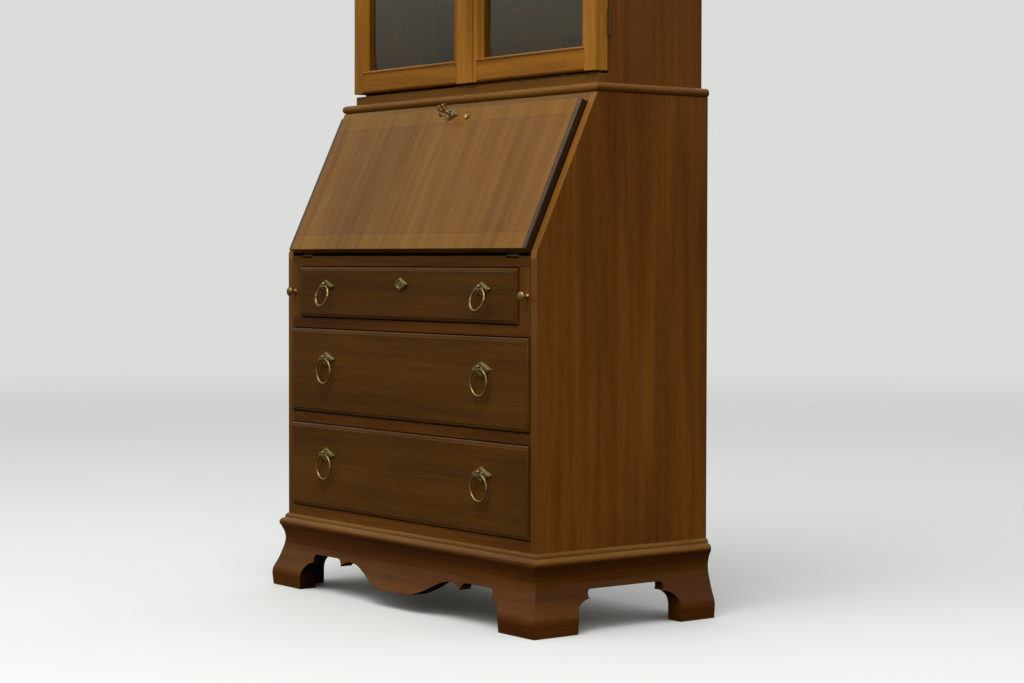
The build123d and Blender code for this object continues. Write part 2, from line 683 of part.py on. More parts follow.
def drawer_nodes(name):
    """Every node of one drawer, by name."""
    half, low, high, pull_z, plate, ring, lean = DRAWERS[name]
    plates = group(pull_plate((-PULL_X, pull_z), *plate), pull_plate((PULL_X, pull_z), *plate))
    nodes = {
        f"drawer_{name}_front": drawer_front(half, low, high),
        f"drawer_{name}_box": drawer_box(half, low, high),
        f"drawer_{name}_plates": plates,
        f"drawer_{name}_ring_left": pull_ring((-PULL_X, pull_z), ring, lean),
        f"drawer_{name}_ring_right": pull_ring((PULL_X, pull_z), ring, lean),
    }
    if name == "top":
        nodes["drawer_top_front"] = top_drawer_front()
        nodes["drawer_top_plates"] = group(plates, drawer_escutcheon(), drawer_lock())
    return nodes


# ---- writing gallery
GALLERY_FRONT = FRONT + GALLERY_SETBACK
GALLERY_TOP = WRITING_HEIGHT + GALLERY_HEIGHT
WING_INNER = INNER - GALLERY_WING
CUBBY_FLOOR = WRITING_HEIGHT + SMALL_DRAWER


def writing_gallery():
    """Pigeonholes over two small drawers, with a wider bay between them."""
    depth = (GALLERY_FRONT, REAR)
    thick = GALLERY_BOARD
    cap = GALLERY_TOP - thick
    top = block((-INNER, INNER), depth, (cap, GALLERY_TOP))
    end = both(block((INNER - thick, INNER), depth, (WRITING_HEIGHT, cap)))
    wing = both(block((WING_INNER, WING_INNER + thick), depth, (WRITING_HEIGHT, cap)))
    floor = both(block((WING_INNER + thick, INNER - thick), depth, (CUBBY_FLOOR, CUBBY_FLOOR + thick)))
    middle = (WING_INNER + INNER) / 2
    divider = both(block((middle - thick / 2, middle + thick / 2), depth, (CUBBY_FLOOR + thick, cap)))
    shelf_z = WRITING_HEIGHT + GALLERY_HEIGHT * 0.52
    shelf = block((-WING_INNER, WING_INNER), depth, (shelf_z, shelf_z + thick))
    return group(top, end, wing, floor, divider, shelf)


def small_drawer():
    """The right-hand small drawer: front, box and knob."""
    low = WRITING_HEIGHT + 0.5
    high = CUBBY_FLOOR - 1.0
    left = WING_INNER + GALLERY_BOARD + 0.7
    right = INNER - GALLERY_BOARD - 0.7
    start = GALLERY_FRONT + 12
    end = REAR - 12
    front = block((left, right), (GALLERY_FRONT, start), (low, high))
    sides = [block((x, x + 7), (start, end), (low, high - 6)) for x in (left, right - 7)]
    rear = block((left + 7, right - 7), (end - 7, end), (low + 5, high - 6))
    floor = block((left + 7, right - 7), (start, end), (low, low + 5))
    middle = ((left + right) / 2, (low + high) / 2)
    axis = Plane(origin=(middle[0], GALLERY_FRONT, middle[1]), x_dir=(1, 0, 0), z_dir=(0, -1, 0))
    knob = axis * (Pos(0, 0, 3) * Cylinder(3, 6) + Pos(0, 0, 9) * Sphere(6))
    return group(front, *sides, rear, floor, knob)


# ---- hutch
def shelf_heights():
    floor = HUTCH_FOOT + RAIL
    step = (DOOR_TOP - floor) / (SHELF_COUNT + 1)
    return [floor + step * (n + 1) for n in range(SHELF_COUNT)]


def shelf_pin_places():
    depths = (HUTCH_FRONT + 55, REAR - 40)
    return [(y, z - SHELF_PIN) for z in shelf_heights() for y in depths]


def hutch_side():
    side = block((HUTCH_INNER, HUTCH_HALF), (HUTCH_FRONT, BACK), (HUTCH_FOOT, HUTCH_TOP))
    for y, z in shelf_pin_places():
        side = side - Pos(HUTCH_INNER, y, z) * Rot(0, 90, 0) * Cylinder(SHELF_PIN, 16)
    return side


def shelf_pins():
    pins = [both(Pos(HUTCH_INNER, y, z) * Rot(0, 90, 0) * Cylinder(SHELF_PIN, 16))
            for y, z in shelf_pin_places()]
    return group(*pins)


def hutch_top_bottom():
    depth = (HUTCH_FRONT, REAR)
    bottom = block((-HUTCH_INNER, HUTCH_INNER), depth, (HUTCH_FOOT, HUTCH_FOOT + RAIL))
    top = block((-HUTCH_INNER, HUTCH_INNER), depth, (DOOR_TOP, DOOR_TOP + RAIL))
    return group(bottom, top)


def hutch_back():
    return block((-HUTCH_INNER, HUTCH_INNER), (REAR, BACK), (HUTCH_FOOT, HUTCH_TOP))


def hutch_front_rails():
    face = DOOR_FACE + 8
    low = block((-HUTCH_HALF, HUTCH_HALF), (face, HUTCH_FRONT),
                (HUTCH_FOOT, HUTCH_FOOT + HUTCH_BASE_RAIL))
    frieze = block((-HUTCH_HALF, HUTCH_HALF), (face, HUTCH_FRONT), (HUTCH_TOP - FRIEZE, HUTCH_TOP))
    return group(low, frieze)


def hutch_shelves():
    boards = [block((-HUTCH_INNER + 1, HUTCH_INNER - 1), (HUTCH_FRONT + 20, REAR - 1), (z, z + SHELF))
              for z in shelf_heights()]
    return group(*boards)


def cornice_outline():
    """Section of the cornice: a bead, a deep cove and a square crown."""
    low = HUTCH_TOP - FRIEZE + 8
    high = low + CORNICE_HEIGHT
    bead = ThreePointArc((4, low), (7.5, low + 3.5), (4, low + 7))
    step = Line((4, low + 7), (6, low + 10))
    cove = ThreePointArc((6, low + 10), (14, low + 31), (CORNICE_REACH - 6, high - 16))
    ogee = ThreePointArc((CORNICE_REACH - 4, high - 14), (CORNICE_REACH - 1, high - 11),
                         (CORNICE_REACH, high - 7))
    rest = Polyline((CORNICE_REACH, high - 7), (CORNICE_REACH, high), (0, high), (0, low), (4, low))
    lip = Line((CORNICE_REACH - 6, high - 16), (CORNICE_REACH - 4, high - 14))
    return make_face(bead + step + cove + lip + ogee + rest)


def cornice():
    face = DOOR_FACE + 8
    front = front_run(cornice_outline(), HUTCH_HALF, face, CORNICE_REACH + 5, 0)
    side = side_run(cornice_outline(), HUTCH_HALF, face, BACK, CORNICE_REACH + 5, 0)
    return group(front, side, mirrored(side))


# ---- doors, drawn for the right-hand side
DOOR_LEFT = DOOR_MEETING_GAP / 2


def member_outline(face_width, rounded):
    """Section of a frame member: (in from the outer edge, back from the face)."""
    inner = face_width + STICKING
    rebate = inner - GLASS_REBATE
    corner = ThreePointArc((0, rounded), (rounded * 0.29, rounded * 0.29), (rounded, 0))
    rest = Polyline((rounded, 0), (face_width, 0), (inner, STICKING_DEPTH), (inner, GLASS_DEPTH),
                    (rebate, GLASS_DEPTH), (rebate, DOOR_THICK), (0, DOOR_THICK), (0, rounded))
    return make_face(corner + rest)


def member(origin, inward, face_width, length, trim, rounded=6.0):
    """A frame member run through an origin, facing inward, and trimmed to its outline."""
    along = Vector(0, -1, 0).cross(Vector(*inward)) * -1
    plane = Plane(origin=origin, x_dir=inward, z_dir=along)
    if plane.y_dir.Y < 0:
        plane = Plane(origin=origin, x_dir=inward, z_dir=along * -1)
    body = extrude(plane * member_outline(face_width, rounded), length / 2, both=True)
    shape = extrude(Plane.XZ.offset(-DOOR_BACK - 5) * make_face(Polyline(*trim, close=True)), 80)
    return body & shape


def door_frame(handed):
    """Stiles, rails and glazing beads of the right door."""
    left, right = DOOR_LEFT, HUTCH_HALF
    low, high = DOOR_LOW, DOOR_TOP
    stile, rail, mould = STILE_FACE, RAIL_FACE, STICKING
    middle_z = (low + high) / 2
    middle_x = (left + right) / 2
    long, wide = 2 * (high - low), 2 * (right - left)
    hinge_stile = member((right, DOOR_FACE, middle_z), (-1, 0, 0), stile, long, [
        (right, low), (right - stile, low), (right - stile, low + rail),
        (right - stile - mould, low + rail + mould), (right - stile - mould, high - rail - mould),
        (right - stile, high - rail), (right - stile, high), (right, high)])
    meeting_stile = member((left, DOOR_FACE, middle_z), (1, 0, 0), stile, long, [
        (left, low), (left + stile, low), (left + stile, low + rail),
        (left + stile + mould, low + rail + mould), (left + stile + mould, high - rail - mould),
        (left + stile, high - rail), (left + stile, high), (left, high)], 1.0)
    bottom_rail = member((middle_x, DOOR_FACE, low), (0, 0, 1), rail, wide, [
        (left + stile, low), (right - stile, low), (right - stile, low + rail),
        (right - stile - mould, low + rail + mould), (left + stile + mould, low + rail + mould),
        (left + stile, low + rail)])
    top_rail = member((middle_x, DOOR_FACE, high), (0, 0, -1), rail, wide, [
        (left + stile, high), (right - stile, high), (right - stile, high - rail),
        (right - stile - mould, high - rail - mould), (left + stile + mould, high - rail - mould),
        (left + stile, high - rail)])
    x0, x1 = left + stile + mould - GLASS_REBATE, right - stile - mould + GLASS_REBATE
    z0, z1 = low + rail + mould - GLASS_REBATE, high - rail - mould + GLASS_REBATE
    depth = (DOOR_FACE + GLASS_DEPTH + GLASS, DOOR_BACK - 1)
    wide_bead = GLASS_REBATE
    beads = [block((x0, x0 + wide_bead), depth, (z0, z1)),
             block((x1 - wide_bead, x1), depth, (z0, z1)),
             block((x0 + wide_bead, x1 - wide_bead), depth, (z0, z0 + wide_bead)),
             block((x0 + wide_bead, x1 - wide_bead), depth, (z1 - wide_bead, z1))]
    if handed == "left":
        room = mirrored(bolt_room(door_lock_plane()))
        return group(hinge_stile, meeting_stile - room, bottom_rail, top_rail, *beads)
    meeting_stile = meeting_stile - lock_pocket(door_lock_plane())
    meeting_stile = meeting_stile - door_key_plane() * keyhole(DOOR_THICK)
    strip = block((left, left + ASTRAGAL), (DOOR_FACE - ASTRAGAL_PROUD, DOOR_FACE), (low, high))
    strip = strip - door_key_plane() * keyhole(DOOR_THICK)
    return group(hinge_stile, meeting_stile, bottom_rail, top_rail, strip, *beads)


def door_glass():
    x = (DOOR_LEFT + STILE_FACE + STICKING - GLASS_REBATE + 0.5,
         HUTCH_HALF - STILE_FACE - STICKING + GLASS_REBATE - 0.5)
    z = (DOOR_LOW + RAIL_FACE + STICKING - GLASS_REBATE + 0.5,
         DOOR_TOP - RAIL_FACE - STICKING + GLASS_REBATE - 0.5)
    face = DOOR_FACE + GLASS_DEPTH
    return bevelled(x, z, face, face + GLASS, GLASS_BEVEL + GLASS_REBATE, GLASS_BEVEL_DEPTH)


def door_hinges():
    return group(*[door_leaf(height, False) for height in door_hinge_heights()])


def door_surface():
    """Face of the astragal, above the lock's outer face."""
    return DOOR_THICK - LOCK_DEEP + ASTRAGAL_PROUD


def door_right_fittings():
    plate = Pos(0, 0, door_surface()) * lozenge_plate(42, 20)
    hole = Rot(0, 0, -90) * Pos(0, 0, door_surface() - 1) * keyhole(PLATE_RIM + 2)
    escutcheon = door_lock_plane() * (plate - hole)
    return group(door_hinges(), escutcheon, door_lock_plane() * lock_case(LOCK_EDGE))


# ---- every node by name
def all_nodes():
    side = bureau_side()
    foot = base_side()
    frame_left = mirrored(door_frame("left"))
    nodes = {
        "side_left": mirrored(side),
        "side_right": side,
        "bottom_board": bottom_board(),
        "drawer_rails": drawer_rails(),
        "dust_boards_and_runners": dust_boards_and_runners(),
        "loper_dividers": loper_dividers(),
        "writing_board": writing_board(),
        "slant_top_rail": slant_top_rail(),
        "bureau_top": bureau_top(),
        "bureau_back": bureau_back(),
        "base_front": base_front(),
        "base_left": mirrored(foot),
        "base_right": foot,
        "base_moulding": base_moulding(),
        "foot_blocks": foot_blocks(),
        "writing_gallery": writing_gallery(),
        "hutch_sides": both(hutch_side()),
        "hutch_top_bottom": hutch_top_bottom(),
        "hutch_back": hutch_back(),
        "hutch_front_rails": hutch_front_rails(),
        "cornice": cornice(),
        "hutch_shelves": hutch_shelves(),
        "shelf_pins": shelf_pins(),
        "case_hinge_leaves": case_hinge_leaves(),
        "fall_panel": fall_panel(),
        "fall_escutcheon": fall_escutcheon(),
        "fall_stud": fall_stud(),
        "fall_hinge_leaves": fall_hinge_leaves(),
        "fall_lock": fall_lock_plane() * lock_case(LOCK_EDGE),
        "fall_key": fall_lock_plane() * key(fall_surface() + PLATE_RIM),
        "fall_lock_bolt": fall_lock_plane() * lock_bolt(LOCK_EDGE),
        "loper_left": mirrored(loper()),
        "loper_left_knob": mirrored(loper_knob()),
        "loper_right": loper(),
        "loper_right_knob": loper_knob(),
        "gallery_drawer_left": mirrored(small_drawer()),
        "gallery_drawer_right": small_drawer(),
        "door_left_frame": frame_left,
        "door_left_glass": mirrored(door_glass()),
        "door_left_hinges": mirrored(door_hinges()),
        "door_right_frame": door_frame("right"),
        "door_right_glass": door_glass(),
        "door_right_fittings": door_right_fittings(),
        "door_key": door_key_plane() * key(door_surface() + PLATE_RIM),
        "door_lock_bolt": door_lock_plane() * lock_bolt(LOCK_EDGE),
    }
    for name in DRAWERS:
        nodes.update(drawer_nodes(name))
    return nodes


os.makedirs("parts", exist_ok=True)
for node_name, node_shape in all_nodes().items():
    export_step(node_shape, f"parts/{node_name}.step")
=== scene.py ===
"""Looks of a secretary desk: a slant-front bureau with three drawers, under a hutch with two glazed doors.

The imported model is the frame: metres, +Z up, front towards -Y. Sizes in this file are in millimetres in
the same frame, and become metres when a piece is made.
"""

import json
import logging
from dataclasses import dataclass
from enum import Enum
from math import cos, pi, radians, sin

import bpy
import numpy as np
from mathutils import Matrix, Vector


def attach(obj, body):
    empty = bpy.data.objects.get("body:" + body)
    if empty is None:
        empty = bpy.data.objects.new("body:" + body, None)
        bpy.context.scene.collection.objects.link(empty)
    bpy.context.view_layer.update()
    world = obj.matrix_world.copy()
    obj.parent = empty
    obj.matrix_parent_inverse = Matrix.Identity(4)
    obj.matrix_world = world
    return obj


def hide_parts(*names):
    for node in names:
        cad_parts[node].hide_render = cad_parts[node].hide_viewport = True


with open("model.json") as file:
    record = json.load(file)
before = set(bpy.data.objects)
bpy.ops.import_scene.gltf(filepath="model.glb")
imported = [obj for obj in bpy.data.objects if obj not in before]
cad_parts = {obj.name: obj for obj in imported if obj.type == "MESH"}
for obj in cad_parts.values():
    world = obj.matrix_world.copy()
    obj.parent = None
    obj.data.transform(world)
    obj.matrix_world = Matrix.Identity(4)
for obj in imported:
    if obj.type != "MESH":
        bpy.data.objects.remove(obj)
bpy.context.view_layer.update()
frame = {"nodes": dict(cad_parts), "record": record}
MM = 0.001
log = logging.getLogger("desk")

Array = np.ndarray
Tone = tuple[int, int, int]
Triple = tuple[float, float, float]
Pair = tuple[float, float]
Node = bpy.types.Node
Socket = bpy.types.NodeSocket
Value = Socket | float | tuple
Material = bpy.types.Material


class Slot(Enum):
    """Material slots of the record."""

    DRAWER = "drawer_wood"
    FALL = "fall_wood"
    DOOR = "door_wood"
    BRASS = "brass"


class Grain(Enum):
    """Direction of the wood's grain."""

    ACROSS = "x"
    DEEP = "y"
    UPRIGHT = "z"
    ROUND = "mitred mouldings: along the front, and along the depth at the sides"
    DOOR = "upright in the stiles and across in the rails"
    SLOPE = "up the fall"


# ---- shapes
@dataclass(frozen=True)
class Place:
    """An origin and the directions of local x, y and z, in millimetres in the desk's frame."""

    origin: Triple
    x: Triple = (1, 0, 0)
    y: Triple = (0, 1, 0)
    z: Triple = (0, 0, 1)

    def put(self, points: Array) -> Array:
        """Returns local points in the desk's frame."""
        return np.asarray(self.origin, float) + points @ np.array([self.x, self.y, self.z], float)


@dataclass
class Shell:
    """A closed surface: its points and its faces, which point outwards."""

    points: Array
    faces: list[list[int]]

    @classmethod
    def grid(cls, points: Array, loop: bool = False) -> "Shell":
        """A surface over a grid of points whose columns close round.

        Args:
            points: Rows by columns by 3.
            loop: The rows close round too; otherwise the first and last row are filled.
        Returns:
            The closed surface.
        """
        rows, columns, _ = points.shape
        index = np.arange(rows * columns).reshape(rows, columns)
        index = np.concatenate([index, index[:, :1]], axis=1)
        if loop:
            index = np.concatenate([index, index[:1]], axis=0)
        quads = np.stack([index[:-1, :-1], index[:-1, 1:], index[1:, 1:], index[1:, :-1]], axis=-1)
        faces = quads.reshape(-1, 4).tolist()
        if not loop:
            faces.append(list(range(columns))[::-1])
            faces.append(list(range((rows - 1) * columns, rows * columns)))
        return cls(points.reshape(-1, 3), faces).outward()

    def volume(self) -> float:
        """Signed volume: the sum over triangles of a . (b x c) / 6, about the middle of the points."""
        points = self.points - self.points.mean(axis=0)
        fans = [(f[0], f[k], f[k + 1]) for f in self.faces for k in range(1, len(f) - 1)]
        a, b, c = (points[np.array(fans)[:, k]] for k in range(3))
        return float(np.einsum("ij,ij->i", a, np.cross(b, c)).sum() / 6)

    def outward(self) -> "Shell":
        """Returns the surface with its faces pointing outwards."""
        if self.volume() < 0:
            self.faces = [f[::-1] for f in self.faces]
        return self

    def placed(self, place: Place) -> "Shell":
        """Returns the surface moved from local coordinates to a place."""
        return Shell(place.put(self.points), self.faces).outward()

    def mirrored(self) -> "Shell":
        """Returns the surface on the other side of the desk."""
        return Shell(self.points * np.array([-1.0, 1.0, 1.0]), self.faces).outward()


def turned(profile: list[Pair], sides: int = 40) -> Shell:
    """A turned shape: each (radius, height) goes round the z axis as (r cos a, r sin a, h).

    Args:
        profile: Radii and heights, from one end to the other; no radius is 0.
        sides: Points round the axis.
    Returns:
        The closed surface.
    """
    radius, height = np.array(profile, float).T
    angle = np.linspace(0, 2 * pi, sides, endpoint=False)
    x = radius[:, None] * np.cos(angle)
    y = radius[:, None] * np.sin(angle)
    z = np.broadcast_to(height[:, None], x.shape)
    return Shell.grid(np.stack([x, y, z], axis=-1))


def wire(path: Array, radius: Array | float, normal: Triple, sides: int = 14, loop: bool = False) -> Shell:
    """A round wire along a flat path: centre + r (cos a * side + sin a * normal) at each point.

    Args:
        path: Points of the centre line, which lie in a plane.
        radius: One radius, or one for each point.
        normal: Direction across the plane of the path.
        sides: Points round the wire.
        loop: The path closes round.
    Returns:
        The closed surface.
    """
    path = np.asarray(path, float)
    up = np.asarray(normal, float)
    if loop:
        ahead = np.roll(path, -1, axis=0) - np.roll(path, 1, axis=0)
    else:
        ahead = np.gradient(path, axis=0)
    ahead /= np.linalg.norm(ahead, axis=1, keepdims=True)
    side = np.cross(up, ahead)
    angle = np.linspace(0, 2 * pi, sides, endpoint=False)
    reach = np.broadcast_to(np.asarray(radius, float), (len(path),))[:, None, None]
    ring = side[:, None, :] * np.cos(angle)[:, None] + up * np.sin(angle)[:, None]
    return Shell.grid(path[:, None, :] + reach * ring, loop=loop)


def carried(section: Array, ends: Array, across: Triple, out: Triple) -> Shell:
    """A section carried along a straight run: end + a * across + o * out at each end.

    Args:
        section: Closed outline of (across, out) values.
        ends: The two ends of the run.
        across: Direction of the section's first value.
        out: Direction of the section's second value.
    Returns:
        The closed surface.
    """
    section = np.asarray(section, float)
    offset = section[:, :1] * np.asarray(across, float) + section[:, 1:] * np.asarray(out, float)
    return Shell.grid(np.asarray(ends, float)[:, None, :] + offset[None, :, :])


def mitres(outline: Array) -> Array:
    """Inward mitre at each corner of a closed outline: (n1 + n2) / (1 + n1 . n2) for its sides' normals."""
    ahead = np.roll(outline, -1, axis=0) - outline
    ahead /= np.linalg.norm(ahead, axis=1, keepdims=True)
    normal = np.stack([-ahead[:, 1], ahead[:, 0]], axis=1)
    before = np.roll(normal, 1, axis=0)
    return (normal + before) / (1 + np.sum(normal * before, axis=1, keepdims=True))


def stepped(outline: Array, steps: list[Pair]) -> Array:
    """Rings of an outline moved inwards and raised: corner + inset * mitre, at each height.

    Args:
        outline: Corners in the plane, anticlockwise.
        steps: (inset, height) of each ring.
    Returns:
        Rings by corners by 3.
    """
    outline = np.asarray(outline, float)
    inset, height = np.array(steps, float).T
    flat = outline[None] + inset[:, None, None] * mitres(outline)[None]
    return np.concatenate([flat, np.broadcast_to(height[:, None, None], flat.shape[:2] + (1,))], axis=-1)


def rectangle(x: Pair, y: Pair) -> Array:
    """Corners of a rectangle, anticlockwise."""
    return np.array([(x[0], y[0]), (x[1], y[0]), (x[1], y[1]), (x[0], y[1])], float)


def lozenge(length: float, height: float) -> Array:
    """Corners of a lozenge, anticlockwise."""
    return np.array([(length / 2, 0), (0, height / 2), (-length / 2, 0), (0, -height / 2)], float)


def seen_from(corners: Array, centre: Pair, count: int = 96) -> tuple[Array, Array]:
    """A convex outline by the angle at which each point is seen from a centre.

    The distance at an angle is the least d / (n . u) over the sides that u looks at, where n . p = d is
    a side.

    Args:
        corners: Corners of the outline, anticlockwise.
        centre: The point looked from.
        count: Evenly spread angles, to which the corners' own are added.
    Returns:
        The angles, and the outline's points at them.
    """
    local = corners - np.asarray(centre, float)
    spread = np.linspace(-pi, pi, count, endpoint=False)
    angle = np.unique(np.concatenate([spread, np.arctan2(local[:, 1], local[:, 0])]).round(7))
    look = np.stack([np.cos(angle), np.sin(angle)], axis=1)
    ahead = np.roll(local, -1, axis=0) - local
    normal = np.stack([ahead[:, 1], -ahead[:, 0]], axis=1)
    level = np.sum(normal * local, axis=1)
    facing = look @ normal.T
    reach = np.where(facing > 1e-9, level / np.where(facing > 1e-9, facing, 1), np.inf).min(axis=1)
    return angle, np.asarray(centre, float) + look * reach[:, None]


def keyhole(angle: Array, radius: float = 2.8, half: float = 1.5, foot: float = 7.6) -> Array:
    """A keyhole by angle: a circle, or the slot below it where that reaches further.

    Args:
        angle: Angles at which the points are wanted.
        radius: Radius of the round part.
        half: Half the slot's width.
        foot: Depth of the slot's foot below the middle.
    Returns:
        One point for each angle.
    """
    c, s = np.abs(np.cos(angle)), -np.sin(angle)
    slot = np.minimum(half / np.maximum(c, 1e-6), foot / np.maximum(s, 1e-6))
    reach = np.maximum(radius, np.where(s > 0, slot, 0))
    return np.stack([np.cos(angle), np.sin(angle)], axis=1) * reach[:, None]


def holed(corners: Array, steps: list[Pair], centre: Pair, back: float, face: float) -> Shell:
    """A stepped plate or board with a keyhole through it.

    Args:
        corners: Corners of the outline, anticlockwise.
        steps: (inset, height) of the rings, from the back's edge to the middle of the face.
        centre: Middle of the keyhole's round part.
        back: Height of the back.
        face: Height of the face round the keyhole.
    Returns:
        The closed surface.
    """
    inner = steps[-1][0]
    shrunk = corners + inner * mitres(corners)
    angle, ring = seen_from(shrunk, centre)
    rows = stepped(ring, [(inset - inner, height) for inset, height in steps])
    hole = np.asarray(centre, float) + keyhole(angle)
    levels = [np.column_stack([hole, np.full(len(hole), height)]) for height in (face, back)]
    return Shell.grid(np.concatenate([rows, np.array(levels)]), loop=True)


def quarter(start: Pair, end: Pair, count: int = 6, hollow: bool = False) -> list[Pair]:
    """Points of a quarter of an ellipse.

    Args:
        start: First point.
        end: Last point.
        count: Number of points.
        hollow: The curve leaves start level; otherwise it leaves start upright.
    Returns:
        The points.
    """
    turn = np.linspace(0, pi / 2, count)
    first, second = (np.sin(turn), 1 - np.cos(turn)) if hollow else (1 - np.cos(turn), np.sin(turn))
    x = start[0] + (end[0] - start[0]) * first
    y = start[1] + (end[1] - start[1]) * second
    return list(zip(x.tolist(), y.tolist()))


# ---- node trees
def linear(colour: Tone, share: float | Triple = 1.0) -> tuple[float, float, float, float]:
    """A screen colour as the linear colour that a shader takes.

    Args:
        colour: Red, green and blue, of 0 to 255.
        share: Factor on the linear colour, one for all three or one for each; the result is held at 1.
    Returns:
        Linear red, green and blue, and an alpha of 1.
    """
    part = np.array(colour, float) / 255
    low, high = part / 12.92, ((part + 0.055) / 1.055) ** 2.4
    return (*np.minimum(np.where(part <= 0.04045, low, high) * share, 1.0).tolist(), 1.0)


class Graph:
    """A node tree, with short ways to add nodes and join them."""

    def __init__(self, tree: bpy.types.NodeTree) -> None:
        """Args: tree: The material's or the group's tree."""
        self.tree = tree

    def feed(self, node: Node, values: dict[str | int, Value]) -> None:
        """Sets inputs of a node.

        Args:
            node: The node.
            values: Input name or number to a value, or to the socket that feeds it.
        """
        for name, value in values.items():
            if isinstance(value, Socket):
                self.tree.links.new(value, node.inputs[name])
            else:
                node.inputs[name].default_value = value

    def add(self, kind: str, values: dict[str | int, Value] | None = None, **settings: object) -> Node:
        """Adds a node.

        Args:
            kind: Blender's name of the node's type, without ShaderNode.
            values: Input name or number to a value, or to the socket that feeds it.
            settings: Attributes of the node, which are set before its inputs.
        Returns:
            The node.
        """
        node = self.tree.nodes.new(kind if kind.startswith("Node") else "ShaderNode" + kind)
        for name, value in settings.items():
            setattr(node, name, value)
        self.feed(node, values or {})
        return node

    def group(self, name: str, values: dict[str | int, Value]) -> Node:
        """Places one of the shared groups. Returns its node."""
        return self.add("Group", values, node_tree=GROUPS[name])

    def math(self, operation: str, *values: Value, clamp: bool = False) -> Socket:
        """A Math node of up to three values or sockets. Returns its output."""
        return self.add("Math", dict(enumerate(values)), operation=operation, use_clamp=clamp).outputs[0]

    def minus(self, first: Value, second: Value, clamp: bool = False) -> Socket:
        """Returns the first less the second."""
        return self.math("SUBTRACT", first, second, clamp=clamp)

    def times(self, first: Value, second: Value, clamp: bool = False) -> Socket:
        """Returns the product of two values."""
        return self.math("MULTIPLY", first, second, clamp=clamp)

    def size(self, value: Value) -> Socket:
        """Returns a value without its sign."""
        return self.math("ABSOLUTE", value)

    def over(self, value: Value, limit: Value) -> Socket:
        """Returns 1 where a value is over a limit, and 0 elsewhere."""
        return self.math("GREATER_THAN", value, limit)

    def span(self, value: Value, low: float, high: float) -> Socket:
        """Returns 0 at low, 1 at high and the share between, held at both ends."""
        return self.add("MapRange", {0: value, 1: low, 2: high}).outputs[0]

    def split(self, vector: Value) -> tuple[Socket, ...]:
        """Returns a vector's three values."""
        return tuple(self.add("SeparateXYZ", {0: vector}).outputs)

    def joined(self, x: Value, y: Value, z: Value) -> Socket:
        """Returns the vector of three values."""
        return self.add("CombineXYZ", {0: x, 1: y, 2: z}).outputs[0]

    def point(self) -> Socket:
        """Returns the surface's place in the desk's frame, in metres."""
        return self.add("TexCoord").outputs["Object"]

    def facing(self) -> tuple[Socket, ...]:
        """Returns the three values of the surface's normal."""
        return self.split(self.add("TexCoord").outputs["Normal"])

    def mix(self, share: Value, first: Value, second: Value, kind: str = "Color") -> Socket:
        """Mixes two colours or two vectors.

        Args:
            share: 0 where the result is the first, and 1 where it is the second.
            first: Colour or vector.
            second: Colour or vector.
            kind: Color or Vector.
        Returns:
            The mixed colour or vector.
        """
        node = self.add("Mix", data_type="RGBA" if kind == "Color" else "VECTOR")
        number = {socket.identifier: k for k, socket in enumerate(node.inputs)}
        fed = {"Factor_Float": share, "A_" + kind: first, "B_" + kind: second}
        self.feed(node, {number[name]: value for name, value in fed.items()})
        return next(socket for socket in node.outputs if socket.identifier == "Result_" + kind)

    def ramp(self, value: Value, stops: list[tuple[float, tuple]]) -> Socket:
        """A colour ramp. stops: (place, linear colour). Returns the colour."""
        node = self.add("ValToRGB", {0: value})
        elements = node.color_ramp.elements
        while len(elements) < len(stops):
            elements.new(0.5)
        for element, (place, colour) in zip(elements, stops):
            element.position = place
            element.color = colour
        return node.outputs[0]

    def noise(self, vector: Socket, scale: Triple, detail: float = 3.0, rough: float = 0.55,
              distort: float = 0.0) -> Socket:
        """Noise of a vector stretched by a scale for each axis. Returns its value."""
        stretched = self.add("VectorMath", {0: vector, 1: scale}, operation="MULTIPLY").outputs[0]
        return self.add("TexNoise", {"Vector": stretched, "Scale": 1.0, "Detail": detail, "Roughness": rough,
                                     "Distortion": distort}).outputs[0]


def new_group(name: str, amounts: dict[str, float], outputs: tuple[str, ...]) -> tuple[Graph, Node, Node]:
    """Makes a shader node group whose first input is a vector.

    Args:
        name: The group's name.
        amounts: Name and default of each number that it takes.
        outputs: Names of its outputs; Normal is a vector, and the others are numbers.
    Returns:
        The group's graph, its input node and its output node.
    """
    tree = bpy.data.node_groups.new(name, "ShaderNodeTree")
    tree.interface.new_socket("Vector", in_out="INPUT", socket_type="NodeSocketVector")
    for label, value in amounts.items():
        tree.interface.new_socket(label, in_out="INPUT", socket_type="NodeSocketFloat").default_value = value
    for label in outputs:
        kind = "Vector" if label == "Normal" else "Float"
        tree.interface.new_socket(label, in_out="OUTPUT", socket_type="NodeSocket" + kind)
    graph = Graph(tree)
    return graph, graph.add("NodeGroupInput"), graph.add("NodeGroupOutput")


def grain_group() -> bpy.types.NodeTree:
    """Wood grain along the vector's z: broad figure, streaks, fibres and pores, as masks and a height."""
    amounts = {"Figure": 0.5, "Streaks": 0.5, "Fibres": 0.35, "Pores": 0.5}
    g, start, end = new_group("wood_grain", amounts, ("Tone", "Pore Mask", "Height"))
    vector = start.outputs["Vector"]
    figure = g.noise(vector, (5.5, 5.5, 1.1), 2.0, 0.5, 0.6)
    streak = g.noise(vector, (42, 42, 1.5), 4.0, 0.62, 0.35)
    fibre = g.noise(vector, (420, 420, 9), 3.0, 0.6)
    pore = g.noise(vector, (1100, 1100, 42), 2.0, 0.5)
    tone = 0.5
    for value, weight in ((figure, "Figure"), (streak, "Streaks"), (fibre, "Fibres")):
        tone = g.math("MULTIPLY_ADD", g.minus(value, 0.5), start.outputs[weight], tone)
    open_pores = g.times(g.span(pore, 0.56, 0.66), start.outputs["Pores"], clamp=True)
    height = g.minus(g.times(fibre, 0.4), open_pores)
    g.feed(end, {"Tone": tone, "Pore Mask": open_pores, "Height": height})
    return g.tree


